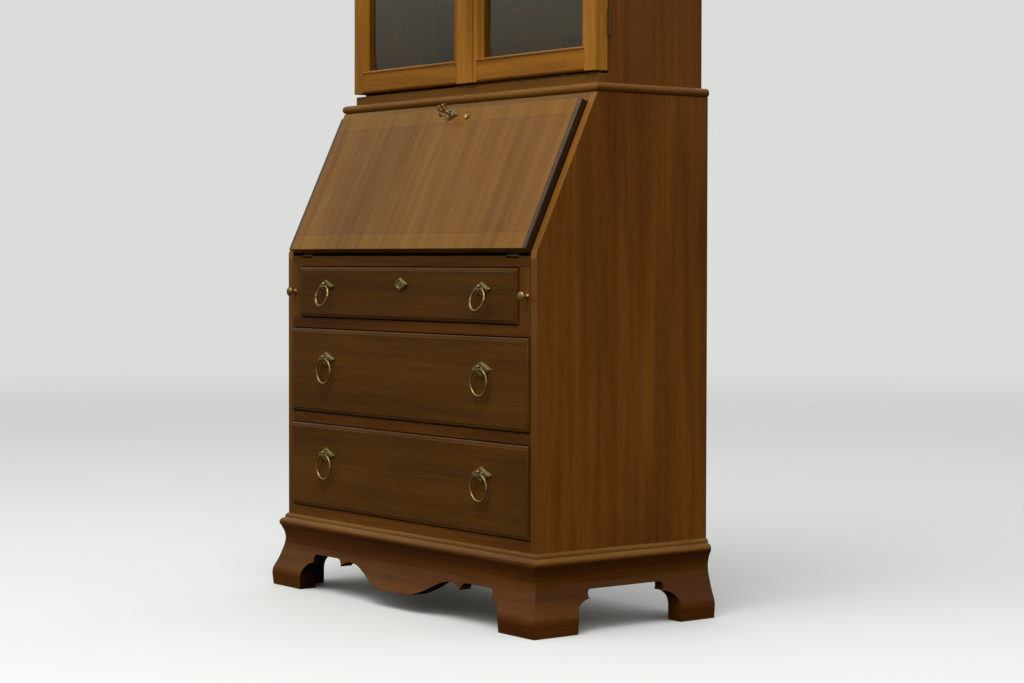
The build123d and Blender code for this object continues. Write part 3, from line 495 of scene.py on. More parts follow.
def wear_group() -> bpy.types.NodeTree:
    """Edges: a mask of the arrises, broken up by noise, and a normal that rounds them."""
    g, start, end = new_group("edge_wear", {"Radius": 0.0012, "Amount": 0.6}, ("Mask", "Normal"))
    soft = g.add("Bevel", {"Radius": start.outputs["Radius"]}, samples=4).outputs[0]
    true = g.add("NewGeometry").outputs["Normal"]
    lean = g.add("VectorMath", {0: soft, 1: true}, operation="DOT_PRODUCT").outputs["Value"]
    patch = g.span(g.noise(start.outputs["Vector"], (34, 34, 34), 4.0, 0.6), 0.38, 0.66)
    worn = g.times(g.span(lean, 0.995, 0.80), patch)
    g.feed(end, {"Mask": g.times(worn, start.outputs["Amount"], clamp=True), "Normal": soft})
    return g.tree


def dust_group() -> bpy.types.NodeTree:
    """Dust on faces that look up, and fingermarks everywhere, as masks."""
    g, start, end = new_group("dust", {"Amount": 0.3}, ("Dust", "Smear"))
    vector = start.outputs["Vector"]
    up = g.span(g.split(g.add("NewGeometry").outputs["Normal"])[2], 0.75, 1.0)
    cloud = g.span(g.noise(vector, (9, 9, 9), 5.0, 0.65), 0.3, 0.7)
    smear = g.span(g.noise(vector, (14, 14, 11), 4.0, 0.6, 0.8), 0.3, 0.75)
    g.feed(end, {"Dust": g.times(g.times(up, cloud), start.outputs["Amount"]), "Smear": smear})
    return g.tree


GROUPS: dict[str, bpy.types.NodeTree] = {}


def new_material(name: str) -> tuple[Material, Graph, Node]:
    """A new material. Returns it, its graph and its Principled shader."""
    material = bpy.data.materials.new(name)
    material.use_nodes = True
    shader = next(n for n in material.node_tree.nodes if n.type == "BSDF_PRINCIPLED")
    return material, Graph(material.node_tree), shader


# ---- places that both shapes and finishes use
SLANT = radians(25.3)
LEAN_Y, LEAN_Z = sin(SLANT), cos(SLANT)
PIN = (-199.4, 730.0)
DRAWER_FACE = -210.4


@dataclass(frozen=True)
class DoorSizes:
    """A glazed door's outline and members, on the right-hand side."""

    left: float = 1.0
    right: float = 430.0
    low: float = 1093.0
    top: float = 1985.0
    face: float = -45.4
    stile: float = 35.0
    rail: float = 42.0
    glass_depth: float = 16.0


DOOR = DoorSizes()


def up_slope(g: Graph, y: Socket, z: Socket) -> Socket:
    """Distance up the fall from its hinge pin: (y - pin y) sin slant + (z - pin z) cos slant."""
    return g.math("ADD", g.times(g.minus(y, PIN[0] * MM), LEAN_Y), g.times(g.minus(z, PIN[1] * MM), LEAN_Z))


def out_of_slope(g: Graph, y: Socket, z: Socket) -> Socket:
    """How far a point or a normal reaches out of the slope: z sin slant - y cos slant."""
    return g.minus(g.times(z, LEAN_Y), g.times(y, LEAN_Z))


def rail_mask(g: Graph, x: Socket, z: Socket) -> Socket:
    """1 in a door's rails, whose mouldings meet the stiles' at a mitre, and 0 in its stiles."""
    sides = ((g.size(x), DOOR.left, DOOR.right, DOOR.stile), (z, DOOR.low, DOOR.top, DOOR.rail))
    inside_x, inside_z = (
        g.minus(((high - low) / 2 - width) * MM, g.size(g.minus(value, (low + high) / 2 * MM)))
        for value, low, high, width in sides)
    return g.over(inside_x, g.math("MAXIMUM", inside_z, 0.0))


# ---- finishes
@dataclass(frozen=True)
class Wood:
    """A lacquered wood: three tones of its figure, its grain and its gloss."""

    name: str
    dark: Tone
    middle: Tone
    light: Tone
    grain: Grain = Grain.UPRIGHT
    shift: Triple = (0, 0, 0)
    figure: float = 0.9
    streaks: float = 0.75
    fibres: float = 0.35
    pores: float = 0.45
    rough: float = 0.36
    coat: float = 0.17
    wear: float = 0.4
    dust: float = 0.25
    pore_shade: float = 0.45
    worn_lift: Triple = (1.8, 1.65, 1.4)
    dust_tone: Tone = (168, 158, 142)

    def direction(self, g: Graph, point: Socket) -> Socket:
        """A vector whose z runs along the grain.

        Args:
            g: The material's graph.
            point: Object coordinates.
        Returns:
            The vector.
        """
        x, y, z = g.split(point)
        if self.grain is Grain.SLOPE:
            along = g.joined(x, out_of_slope(g, y, z), up_slope(g, y, z))
        elif self.grain is Grain.ROUND:
            sideways = g.over(g.size(g.facing()[0]), 0.62)
            along = g.mix(sideways, g.joined(z, y, x), g.joined(z, x, y), "Vector")
        elif self.grain is Grain.DOOR:
            along = g.mix(rail_mask(g, x, z), g.joined(x, y, z), g.joined(z, y, x), "Vector")
        else:
            order = {Grain.UPRIGHT: (x, y, z), Grain.ACROSS: (z, y, x), Grain.DEEP: (z, x, y)}
            along = g.joined(*order[self.grain])
        return g.add("VectorMath", {0: along, 1: self.shift}, operation="ADD").outputs[0]

    def colour(self, g: Graph, tone: Socket, point: Socket) -> Socket:
        """The bare wood's colour.

        Args:
            g: The material's graph.
            tone: The grain's tone.
            point: Object coordinates; not used here.
        Returns:
            The colour.
        """
        stops = ((0.18, self.dark), (0.5, self.middle), (0.82, self.light))
        return g.ramp(tone, [(place, linear(shade)) for place, shade in stops])

    def material(self) -> Material:
        """Returns the finished material."""
        material, g, shader = new_material(self.name)
        point = g.point()
        grain = g.group("grain", {"Vector": self.direction(g, point), "Figure": self.figure,
                                  "Streaks": self.streaks, "Fibres": self.fibres, "Pores": self.pores})
        wear = g.group("wear", {"Vector": point, "Amount": self.wear})
        dust = g.group("dust", {"Vector": point, "Amount": self.dust})
        smear = dust.outputs["Smear"]
        bare = self.colour(g, grain.outputs["Tone"], point)
        porous = g.mix(g.times(grain.outputs["Pore Mask"], 0.75), bare, linear(self.dark, self.pore_shade))
        worn = g.mix(wear.outputs["Mask"], porous, linear(self.light, self.worn_lift))
        rough = g.math("MULTIPLY_ADD", smear, 0.10, self.rough - 0.03)
        bump = g.add("Bump", {"Strength": 0.22, "Distance": 0.0004, "Height": grain.outputs["Height"],
                              "Normal": wear.outputs["Normal"]})
        g.feed(shader, {
            "Base Color": g.mix(dust.outputs["Dust"], worn, linear(self.dust_tone)),
            "Roughness": g.math("ADD", rough, g.times(dust.outputs["Dust"], 0.8), clamp=True),
            "Normal": bump.outputs[0],
            "Coat Weight": g.math("MULTIPLY_ADD", smear, -0.12, self.coat),
            "Coat Roughness": 0.05,
            "Coat IOR": 1.5,
            "IOR": 1.45,
            "Specular IOR Level": 0.13,
            "Specular Tint": (1.0, 0.74, 0.42, 1),
        })
        return material


@dataclass(frozen=True)
class SideWood(Wood):
    """A bureau side, with painted light and shade: its slanted front edge, which looks up towards the light,
    is painted paler than its face, and its upright front edge is painted darker.
    """

    # Painted light on the slanted edge, and painted shade on the upright front edge.
    edge: Tone = (138, 92, 36)
    front: Tone = (98, 60, 15)

    def colour(self, g: Graph, tone: Socket, point: Socket) -> Socket:
        """The wood's colour, with painted light where the surface looks out along the slope's normal, and
        painted shade where it looks straight forwards.
        """
        _, y, z = g.facing()
        ahead = g.times(g.math("LESS_THAN", y, -0.97), 0.8)
        face = g.mix(ahead, super().colour(g, tone, point), linear(self.front))
        return g.mix(g.times(g.over(out_of_slope(g, y, z), 0.96), 0.8), face, linear(self.edge))


@dataclass(frozen=True)
class LoperWood(Wood):
    """A loper's wood, with painted shade: dark bands along its front's long edges, beside the gaps."""

    middle_x: float = 420.4
    # Painted shade: the front keeps its wood colour within this distance of its middle line, and takes the
    # dark colour below beyond it.
    unshaded_half: float = 9.0
    gap_shade_tone: Tone = (38, 22, 8)

    def colour(self, g: Graph, tone: Socket, point: Socket) -> Socket:
        """The wood's colour, with painted shade on the front face outside a band round its middle line."""
        ahead = g.math("LESS_THAN", g.facing()[1], -0.6)
        off = g.size(g.minus(g.size(g.split(point)[0]), self.middle_x * MM))
        share = g.times(g.times(ahead, g.over(off, self.unshaded_half * MM)), 0.85)
        return g.mix(share, super().colour(g, tone, point), linear(self.gap_shade_tone))


@dataclass(frozen=True)
class FootWood(Wood):
    """The base's shaped boards, with painted shade: near black on the faces that look inwards, backwards or
    down, inside and under the feet.
    """

    # Painted shade: the near-black colour of the feet's inward, backward and downward faces.
    hidden: Tone = (22, 12, 6)

    def colour(self, g: Graph, tone: Socket, point: Socket) -> Socket:
        """The wood's colour, with painted shade where the surface looks inwards, backwards or down."""
        x, y, z = g.facing()
        inward = g.times(g.times(x, g.math("SIGN", g.split(point)[0])), -1.0)
        away = g.math("MAXIMUM", inward, g.math("MAXIMUM", y, g.times(z, -1.0)))
        share = g.times(g.times(g.minus(away, 0.5), 4.0, clamp=True), 0.85)
        return g.mix(share, super().colour(g, tone, point), linear(self.hidden))


@dataclass(frozen=True)
class FallVeneer(Wood):
    """The fall's face: a ribbon-figured middle between two cross-banded borders, a line at each joint."""

    band: Tone = (123, 83, 26)
    low_band: float = 41.0
    high_band: float = 296.0
    line: float = 0.9
    line_tone: Tone = (70, 42, 22)

    def colour(self, g: Graph, tone: Socket, point: Socket) -> Socket:
        """The veneer's colour, by height up the slope."""
        _, y, z = g.split(point)
        middle = (self.low_band + self.high_band) / 2 * MM
        half = (self.high_band - self.low_band) / 2 * MM
        past = g.minus(g.size(g.minus(up_slope(g, y, z), middle)), half)
        lifted = g.math("MULTIPLY_ADD", g.minus(tone, 0.5), 1.1, 0.5)
        border = g.ramp(lifted, [(place, linear(self.band, share)) for place, share in
                                 ((0.1, 0.55), (0.5, 1.0), (0.9, 1.35))])
        both = g.mix(g.over(past, 0.0), super().colour(g, tone, point), border)
        joint = g.math("LESS_THAN", g.size(past), self.line / 2 * MM)
        return g.mix(g.times(joint, 0.65), both, linear(self.line_tone))


@dataclass(frozen=True)
class Metal:
    """An aged metal: bright where it is rubbed, dark in its hollows."""

    name: str
    bright: Tone
    aged: Tone
    rough: float = 0.30
    patina: float = 0.6

    def material(self) -> Material:
        """Returns the finished material."""
        material, g, shader = new_material(self.name)
        point = g.point()
        wear = g.group("wear", {"Vector": point, "Radius": 0.0009, "Amount": 1.0})
        hidden = g.add("AmbientOcclusion", {"Distance": 0.006}, samples=6).outputs["AO"]
        spots = g.span(g.noise(point, (210, 210, 210), 5.0, 0.65), 0.36, 0.68)
        tarnish = g.math("MULTIPLY_ADD", g.minus(1.0, hidden), 1.3, g.times(spots, self.patina), clamp=True)
        kept = g.minus(tarnish, g.times(wear.outputs["Mask"], 0.7), clamp=True)
        bump = g.add("Bump", {"Strength": 0.25, "Distance": 0.0003, "Height": spots,
                              "Normal": wear.outputs["Normal"]})
        g.feed(shader, {
            "Base Color": g.mix(kept, linear(self.bright), linear(self.aged)),
            "Roughness": g.math("MULTIPLY_ADD", kept, 0.30, self.rough),
            "Metallic": g.math("MULTIPLY_ADD", kept, -0.45, 1.0, clamp=True),
            "Normal": bump.outputs[0],
        })
        return material


@dataclass(frozen=True)
class Glass:
    """Plate glass with a trace of haze."""

    name: str
    tint: Triple = (0.90, 0.93, 0.90)
    haze: Triple = (0.7, 0.72, 0.66)

    def material(self) -> Material:
        """Returns the finished material."""
        material, g, shader = new_material(self.name)
        smear = g.group("dust", {"Vector": g.point(), "Amount": 0.2}).outputs["Smear"]
        g.feed(shader, {
            "Roughness": g.math("MULTIPLY_ADD", smear, 0.05, 0.015),
            "Base Color": g.mix(g.times(smear, 0.08), (*self.tint, 1), (*self.haze, 1)),
            "Metallic": 0.0,
            "Transmission Weight": 1.0,
            "IOR": 1.5,
        })
        return material


@dataclass(frozen=True)
class Floor:
    """A pale studio floor that fades into the backdrop, and that sends little light back up."""

    name: str
    seen: Tone = (226, 226, 222)
    bounced: Tone = (78, 64, 48)
    clear_from: float = 5.0
    clear_to: float = 11.0

    def material(self) -> Material:
        """Returns the finished material."""
        material, g, shader = new_material(self.name)
        point = g.point()
        pale = g.mix(g.noise(point, (1.3, 1.3, 1.3), 3.0), linear(self.seen, 0.96), linear(self.seen))
        ray = g.add("LightPath").outputs["Is Camera Ray"]
        away = g.add("VectorMath", {0: point}, operation="LENGTH").outputs["Value"]
        fade = g.add("MapRange", {0: away, 1: self.clear_from, 2: self.clear_to, 3: 1.0, 4: 0.0},
                     interpolation_type="SMOOTHSTEP")
        g.feed(shader, {
            "Base Color": g.mix(ray, linear(self.bounced), pale),
            "Alpha": fade.outputs[0],
            "Roughness": 0.7,
            "Specular IOR Level": 0.2,
        })
        return material


class Finishes:
    """Every finish of the desk, made once."""

    def __init__(self) -> None:
        """Makes the groups and the materials."""
        GROUPS.update(grain=grain_group(), wear=wear_group(), dust=dust_group())
        case = dict(dark=(85, 42, 11), middle=(115, 65, 17), light=(141, 86, 27))
        rail = dict(dark=(75, 39, 10), middle=(102, 60, 15), light=(125, 79, 24))
        drawer = dict(dark=(65, 36, 10), middle=(90, 55, 15), light=(112, 72, 25))
        door = dict(dark=(108, 64, 14), middle=(150, 96, 26), light=(186, 124, 42))
        golden = dict(dark=(84, 50, 12), middle=(112, 71, 19), light=(135, 91, 30))
        foot = dict(dark=(60, 28, 4), middle=(86, 45, 8), light=(108, 62, 14))
        inner = dict(dark=(104, 70, 36), middle=(136, 98, 56), light=(162, 124, 78), coat=0.05, rough=0.5,
                     wear=0.3)
        finishes = [
            SideWood("bureau_side_wood", **case),
            FootWood("foot_wood", grain=Grain.ROUND, shift=(0.6, 0.2, 0.5), figure=0.7, **foot),
            Wood("moulding_golden", grain=Grain.ROUND, shift=(0.3, 0.6, 0.2), figure=0.6, **golden),
            Wood("rail_golden", grain=Grain.ACROSS, shift=(0.8, 0.1, 0.6), figure=0.7, **golden),
            # Painted shade: the loper dividers take the drawers' darker tones, for the shade they stand in.
            Wood("divider_painted_shade_wood", shift=(0.5, 0.3, 0.7), **drawer),
            Wood("mahogany_upright", **case),
            Wood("mahogany_across", grain=Grain.ACROSS, shift=(0.31, 0.12, 0.4), **rail),
            Wood("mahogany_deep", grain=Grain.DEEP, shift=(0.7, 0.2, 0.1), **case),
            Wood("mahogany_moulding", grain=Grain.ROUND, shift=(0.17, 0.4, 0.9), figure=0.6, **rail),
            Wood("drawer_veneer", grain=Grain.ACROSS, shift=(0.13, 0.5, 0.77), figure=0.7, streaks=0.6,
                 **drawer),
            LoperWood("loper_wood", shift=(0.9, 0.3, 0.2), **golden),
            Wood("door_wood", grain=Grain.DOOR, shift=(0.43, 0.9, 0.11), **door),
            Wood("fall_rail", grain=Grain.ACROSS, dark=(88, 59, 20), middle=(110, 77, 30),
                 light=(131, 94, 43)),
            FallVeneer("fall_veneer", dark=(92, 56, 17), middle=(116, 75, 25), light=(137, 93, 37),
                       grain=Grain.SLOPE, figure=0.7, streaks=0.95, shift=(0.23, 0, 0.51)),
            Wood("fall_lipping", dark=(34, 20, 12), middle=(54, 33, 20), light=(80, 52, 32),
                 grain=Grain.SLOPE, coat=0.6, rough=0.26),
            Wood("inner_across", grain=Grain.ACROSS, shift=(0.2, 0.6, 0.3), **inner),
            Wood("inner_deep", grain=Grain.DEEP, shift=(0.55, 0.1, 0.8), **inner),
            Metal("aged_brass", bright=(168, 138, 84), aged=(52, 40, 22)),
            Metal("plate_brass", bright=(204, 182, 118), aged=(44, 36, 16)),
            Metal("dark_brass", bright=(112, 90, 50), aged=(38, 30, 16)),
            Metal("dull_steel", bright=(178, 172, 160), aged=(84, 78, 68), rough=0.42),
            Glass("plate_glass"),
            Floor("studio_floor"),
        ]
        self.made = {finish.name: finish.material() for finish in finishes}
        log.info("made %d materials and %d groups", len(self.made), len(GROUPS))

    def __getitem__(self, name: str) -> Material:
        """Returns a material by its name."""
        return self.made[name]


# ---- pieces
def make_piece(name: str, shells: list[Shell], body: str, material: Material,
               replaces: tuple[str, ...] = (), sharp: float = 38.0) -> None:
    """Makes one object of several closed surfaces.

    Args:
        name: The piece's name.
        shells: Surfaces in millimetres in the desk's frame.
        body: CAD body that it rides on.
        material: Its material.
        replaces: CAD nodes that it stands for.
        sharp: Angle between faces, in degrees, past which an edge is sharp.
    """
    starts = np.cumsum([0] + [len(shell.points) for shell in shells])
    points = np.concatenate([shell.points for shell in shells]) * MM
    faces = [[int(start) + k for k in face] for shell, start in zip(shells, starts) for face in shell.faces]
    mesh = bpy.data.meshes.new(name)
    mesh.from_pydata(points.tolist(), [], faces)
    mesh.polygons.foreach_set("use_smooth", np.ones(len(mesh.polygons), bool))
    mesh.set_sharp_from_angle(angle=radians(sharp))
    mesh.materials.append(material)
    piece = bpy.data.objects.new(name, mesh)
    bpy.context.scene.collection.objects.link(piece)
    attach(piece, body)
    if replaces:
        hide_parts(*replaces)
    log.info("%s: %d faces on %s", name, len(faces), body)


def dress(material: Material, *nodes: str, soften: float = 0.0) -> None:
    """Gives CAD nodes a material, and rounds a board's arrises.

    Args:
        material: The material.
        nodes: Names of the CAD nodes.
        soften: Width of the rounding in millimetres, or 0 to leave the arrises.
    """
    for name in nodes:
        node = frame["nodes"][name]
        node.data.materials.clear()
        node.data.materials.append(material)
        if soften:
            weld = node.modifiers.new("weld", "WELD")
            weld.merge_threshold = 0.00002
            flat = node.modifiers.new("flat", "DECIMATE")
            flat.decimate_type = "DISSOLVE"
            flat.angle_limit = radians(0.5)
            bevel = node.modifiers.new("arris", "BEVEL")
            bevel.width = soften * MM
            bevel.segments = 2
            bevel.limit_method = "ANGLE"
            bevel.angle_limit = radians(40)
            even = node.modifiers.new("even", "WEIGHTED_NORMAL")
            even.keep_sharp = False
    log.info("dressed %s", ", ".join(nodes))


def on_front(x: float, y: float, z: float) -> Place:
    """A place whose local y is up and whose local z looks forwards."""
    return Place((x, y, z), (1, 0, 0), (0, 0, 1), (0, -1, 0))


# Angle in degrees past which an edge of a rounded piece is sharp, and the height of an escutcheon's rim
ROUNDED = 50.0
PLATE_RIM = 4.5


@dataclass
class Carcase:
    """Boards of the bureau and its base."""

    finishes: Finishes
    arris: float = 0.8

    def build(self) -> None:
        """Dresses the boards."""
        f = self.finishes
        dress(f["bureau_side_wood"], "side_left", "side_right", soften=self.arris)
        # The dividers' material is painted darker, as shade.
        dress(f["divider_painted_shade_wood"], "loper_dividers", soften=0.5)
        dress(f["mahogany_across"], "drawer_rails", "writing_board", "bottom_board", soften=self.arris)
        dress(f["fall_rail"], "slant_top_rail", soften=self.arris)
        dress(f["inner_across"], "bureau_back", "dust_boards_and_runners", soften=self.arris)
        dress(f["foot_wood"], "base_front", "base_left", "base_right", "foot_blocks")
        dress(f["moulding_golden"], "bureau_top", "base_moulding")


@dataclass
class Pull:
    """A ring pull: a lozenge plate, a hook and a ring."""

    x: float
    z: float
    plate: Pair
    diameter: float
    lean: float
    axis: float = 9.0
    wire: float = 2.3
    curl: float = 3.9

    def plate_shells(self) -> list[Shell]:
        """The plate with its stepped rim, its boss and the hook that the ring hangs in."""
        steps = [(0, 0), (0, 1.7), *quarter((0, 1.7), (1.0, 2.6), 4), (1.5, 2.5), (1.9, 1.7), (2.5, 1.7),
                 *quarter((2.5, 1.7), (3.7, 3.7), 4), (4.3, 3.6), (4.9, 2.4), (5.4, 2.0), (6.2, 2.2),
                 (6.8, 2.2)]
        plate = Shell.grid(stepped(lozenge(*self.plate), steps))
        boss = turned([(4.3, 0.5), (4.3, 2.4), (3.6, 3.0), (2.6, 3.3), (2.3, 4.4), (2.3, 7.2)], 28)
        turn = np.radians(np.linspace(-150, 128, 36))
        curl = np.stack([np.zeros_like(turn), self.curl * np.sin(turn), self.axis - self.curl * np.cos(turn)],
                        axis=1)
        taper = np.interp(turn, [turn[0], turn[6], turn[-1]], [1.0, 1.5, 1.9])
        hook = wire(curl, taper, (1, 0, 0))
        ball = turned([(0.2, -2.7), (1.4, -2.4), (2.3, -1.4), (2.7, 0), (2.3, 1.4), (1.4, 2.4), (0.2, 2.7)],
                      24)
        balls = [ball.placed(Place((0, up, self.axis + out))) for up, out in ((4.9, 1.2), (-4.6, -3.2))]
        place = on_front(self.x, DRAWER_FACE, self.z)
        return [shell.placed(place) for shell in (plate, boss, hook, *balls)]

    def ring_shell(self) -> Shell:
        """The ring: a wire that swells into a bead at each side and thins where it hangs."""
        radius = self.diameter / 2 - self.wire
        turn = np.linspace(0, 2 * pi, 96, endpoint=False)
        side = np.minimum(np.abs(turn - pi / 2), np.abs(turn - 3 * pi / 2))
        beads = 0.9 * np.exp(-(side / 0.07) ** 2) + 0.45 * np.exp(-((side - 0.17) / 0.05) ** 2)
        thick = self.wire * (1.0 - 0.12 * np.cos(turn)) + beads
        path = np.stack([radius * np.sin(turn), np.zeros_like(turn), radius * np.cos(turn) - radius], axis=1)
        ring = wire(path, thick, (0, 1, 0), 16, loop=True)
        lean = radians(self.lean)
        hang = Place((self.x, DRAWER_FACE - self.axis, self.z), (1, 0, 0), (0, cos(lean), -sin(lean)),
                     (0, sin(lean), cos(lean)))
        return ring.placed(hang)


def escutcheon(length: float, height: float, rim: float = PLATE_RIM) -> Shell:
    """A lozenge plate with a raised, stepped rim and a keyhole, its back at height 0."""
    steps = [(0, 0), (0, rim * 0.5), *quarter((0, rim * 0.5), (1.0, rim * 0.72), 4), (1.5, rim * 0.68),
             (1.8, rim * 0.5), (2.3, rim * 0.5), *quarter((2.3, rim * 0.5), (3.1, rim), 4), (3.6, rim * 0.94),
             (4.2, 2.3), (4.8, 2.3)]
    return holed(lozenge(length, height), steps, (0, 0), 0, 2.3)


@dataclass
class Drawer:
    """One of the bureau's drawers: its front, its box and its fittings."""

    name: str
    half: float
    low: float
    top: float
    pull: tuple[float, Pair, float, float]
    finishes: Finishes
    gap: float = 2.0
    thick: float = 22.0
    pull_x: float = 283.0
    locked: bool = False
    lock_rise: float = 671.9
    ring_axis: float = 9.0

    def front(self) -> Shell:
        """The front: a board with a thumb moulding worked round its edges."""
        half = self.half - self.gap
        outline = rectangle((-half, half), (self.low + self.gap, self.top - self.gap))
        steps = [(0, -self.thick), (0, -4.6), *quarter((0.2, -4.4), (6.0, -1.0), 8), (6.5, -0.95),
                 (6.8, -0.35), (7.2, 0), (8.0, 0)]
        place = on_front(0, DRAWER_FACE, 0)
        if self.locked:
            return holed(outline, steps, (0, self.lock_rise), -self.thick, 0).placed(place)
        return Shell.grid(stepped(outline, steps)).placed(place)

    def build(self) -> None:
        """Makes the front, the plates and the rings, and dresses the box."""
        f = self.finishes
        body = f"drawer_{self.name}"
        make_piece(f"{body}_board", [self.front()], body, f["drawer_veneer"], (f"{body}_front",))
        dress(f["inner_deep"], f"{body}_box", soften=0.6)
        z, plate, diameter, lean = self.pull
        pulls = {side: Pull(x, z, plate, diameter, lean, axis=self.ring_axis)
                 for side, x in (("left", -self.pull_x), ("right", self.pull_x))}
        shells = [shell for pull in pulls.values() for shell in pull.plate_shells()]
        if self.locked:
            shells.append(escutcheon(54, 27).placed(on_front(0, DRAWER_FACE, self.lock_rise)))
        make_piece(f"{body}_pull_plates", shells, body, f["plate_brass"], (f"{body}_plates",))
        for side, pull in pulls.items():
            ring = f"{body}_ring_{side}"
            make_piece(f"{ring}_wire", [pull.ring_shell()], self.ring_body(side), f["aged_brass"],
                       (ring,))

    def ring_body(self, side: str) -> str:
        """The body that carries a ring."""
        node = f"drawer_{self.name}_ring_{side}"
        return next(body for body, nodes in frame["record"]["behaviour"]["bodies"].items() if node in nodes)


@dataclass
class Loper:
    """A pull-out slide with a turned knob."""

    side: int
    finishes: Finishes
    x: float = 420.4
    z: float = 651.8
    front: float = -204.4

    def build(self) -> None:
        """Dresses the slide and makes its knob."""
        name = "right" if self.side > 0 else "left"
        dress(self.finishes["loper_wood"], f"loper_{name}", soften=0.5)
        profile = [(6.0, -0.2), (6.0, 0.9), (5.4, 1.7), (4.0, 2.1), (3.0, 3.2), (2.6, 6.0), (3.2, 9.0),
                   (5.2, 11.4), (8.4, 13.2), (9.8, 14.8), (10.0, 16.0), (9.2, 17.6), (7.0, 18.9), (4.0, 19.7),
                   (0.3, 20.0)]
        knob = turned(profile).placed(on_front(self.side * self.x, self.front, self.z))
        make_piece(f"loper_{name}_turned_knob", [knob], f"loper_{name}",
                   self.finishes["aged_brass"], (f"loper_{name}_knob",), ROUNDED)


@dataclass
class Fall:
    """The drop front, with its lippings, fittings and key."""

    finishes: Finishes
    half: float = 429.0
    heel: float = 6.0
    top: float = 329.1
    thick: float = 22.0
    lock_deep: float = 12.0
    key_up: float = 315.1

    @staticmethod
    def slant(up: float, out: float) -> Pair:
        """Y and Z of a point up the slope and out of the inner face."""
        return PIN[0] + up * LEAN_Y - out * LEAN_Z, PIN[1] + up * LEAN_Z + out * LEAN_Y

    def lock_place(self) -> Place:
        """The key's axis: y up the slope and z out of the face."""
        return Place((0, *self.slant(self.key_up, self.lock_deep)), (1, 0, 0), (0, LEAN_Y, LEAN_Z),
                     (0, -LEAN_Z, LEAN_Y))

    def lipping(self) -> Shell:
        """The right-hand edge: a half-round bead and a flat strip beside it, carried up the slope; the strip
        is dark partly from the lipping's own dark wood and partly as painted shade, where a shaded quirk
        would be.
        """
        turn = np.linspace(0, pi, 15)
        bead = np.stack([-3.1 + 3.3 * np.cos(turn), 20.0 + 2.25 * np.sin(turn)], axis=1)
        section = np.concatenate([[(0.25, 1.0), (0.25, 17.5), (0.2, 19.4)], bead,
                                  [(-6.5, 22.0), (-6.7, 22.1), (-10.0, 22.1), (-10.0, 18), (-2, 1.0)]])
        ends = [(self.half, *self.slant(up, 0)) for up in (self.heel + 0.3, self.top - 0.3)]
        return carried(section, ends, (1, 0, 0), (0, -LEAN_Z, LEAN_Y))

    def build(self) -> None:
        """Makes the fall's pieces."""
        f = self.finishes
        dress(f["fall_veneer"], "fall_panel", soften=0.6)
        right = self.lipping()
        make_piece("fall_edge_beads", [right, right.mirrored()], "fall", f["fall_lipping"])
        lift = Place((0, 0, self.thick - self.lock_deep))
        plate = escutcheon(54, 26).placed(lift).placed(self.lock_place())
        make_piece("fall_keyhole_plate", [plate], "fall", f["plate_brass"], ("fall_escutcheon",))
        make_piece("fall_oval_stud", [self.stud()], "fall", f["aged_brass"], ("fall_stud",),
                   ROUNDED)
        Key(self.lock_place(), self.thick - self.lock_deep + PLATE_RIM).make("fall", f["aged_brass"])
        dress(f["dark_brass"], "fall_hinge_leaves")
        dress(f["dull_steel"], "fall_lock", "fall_lock_bolt")

    def stud(self) -> Shell:
        """A small oval stud with a rim, beside the keyhole."""
        shape = turned([(5.0, -0.1), (5.0, 1.8), (4.8, 2.7), (4.3, 3.2), (3.8, 2.8), (3.4, 1.9), (2.6, 1.3),
                        (1.2, 1.0), (0.2, 1.0)])
        oval = np.array([1.25, 1.9, 1.0])
        beside = np.array([64, -4, self.thick - self.lock_deep])
        shape.points = shape.points * oval + beside
        return shape.placed(self.lock_place())


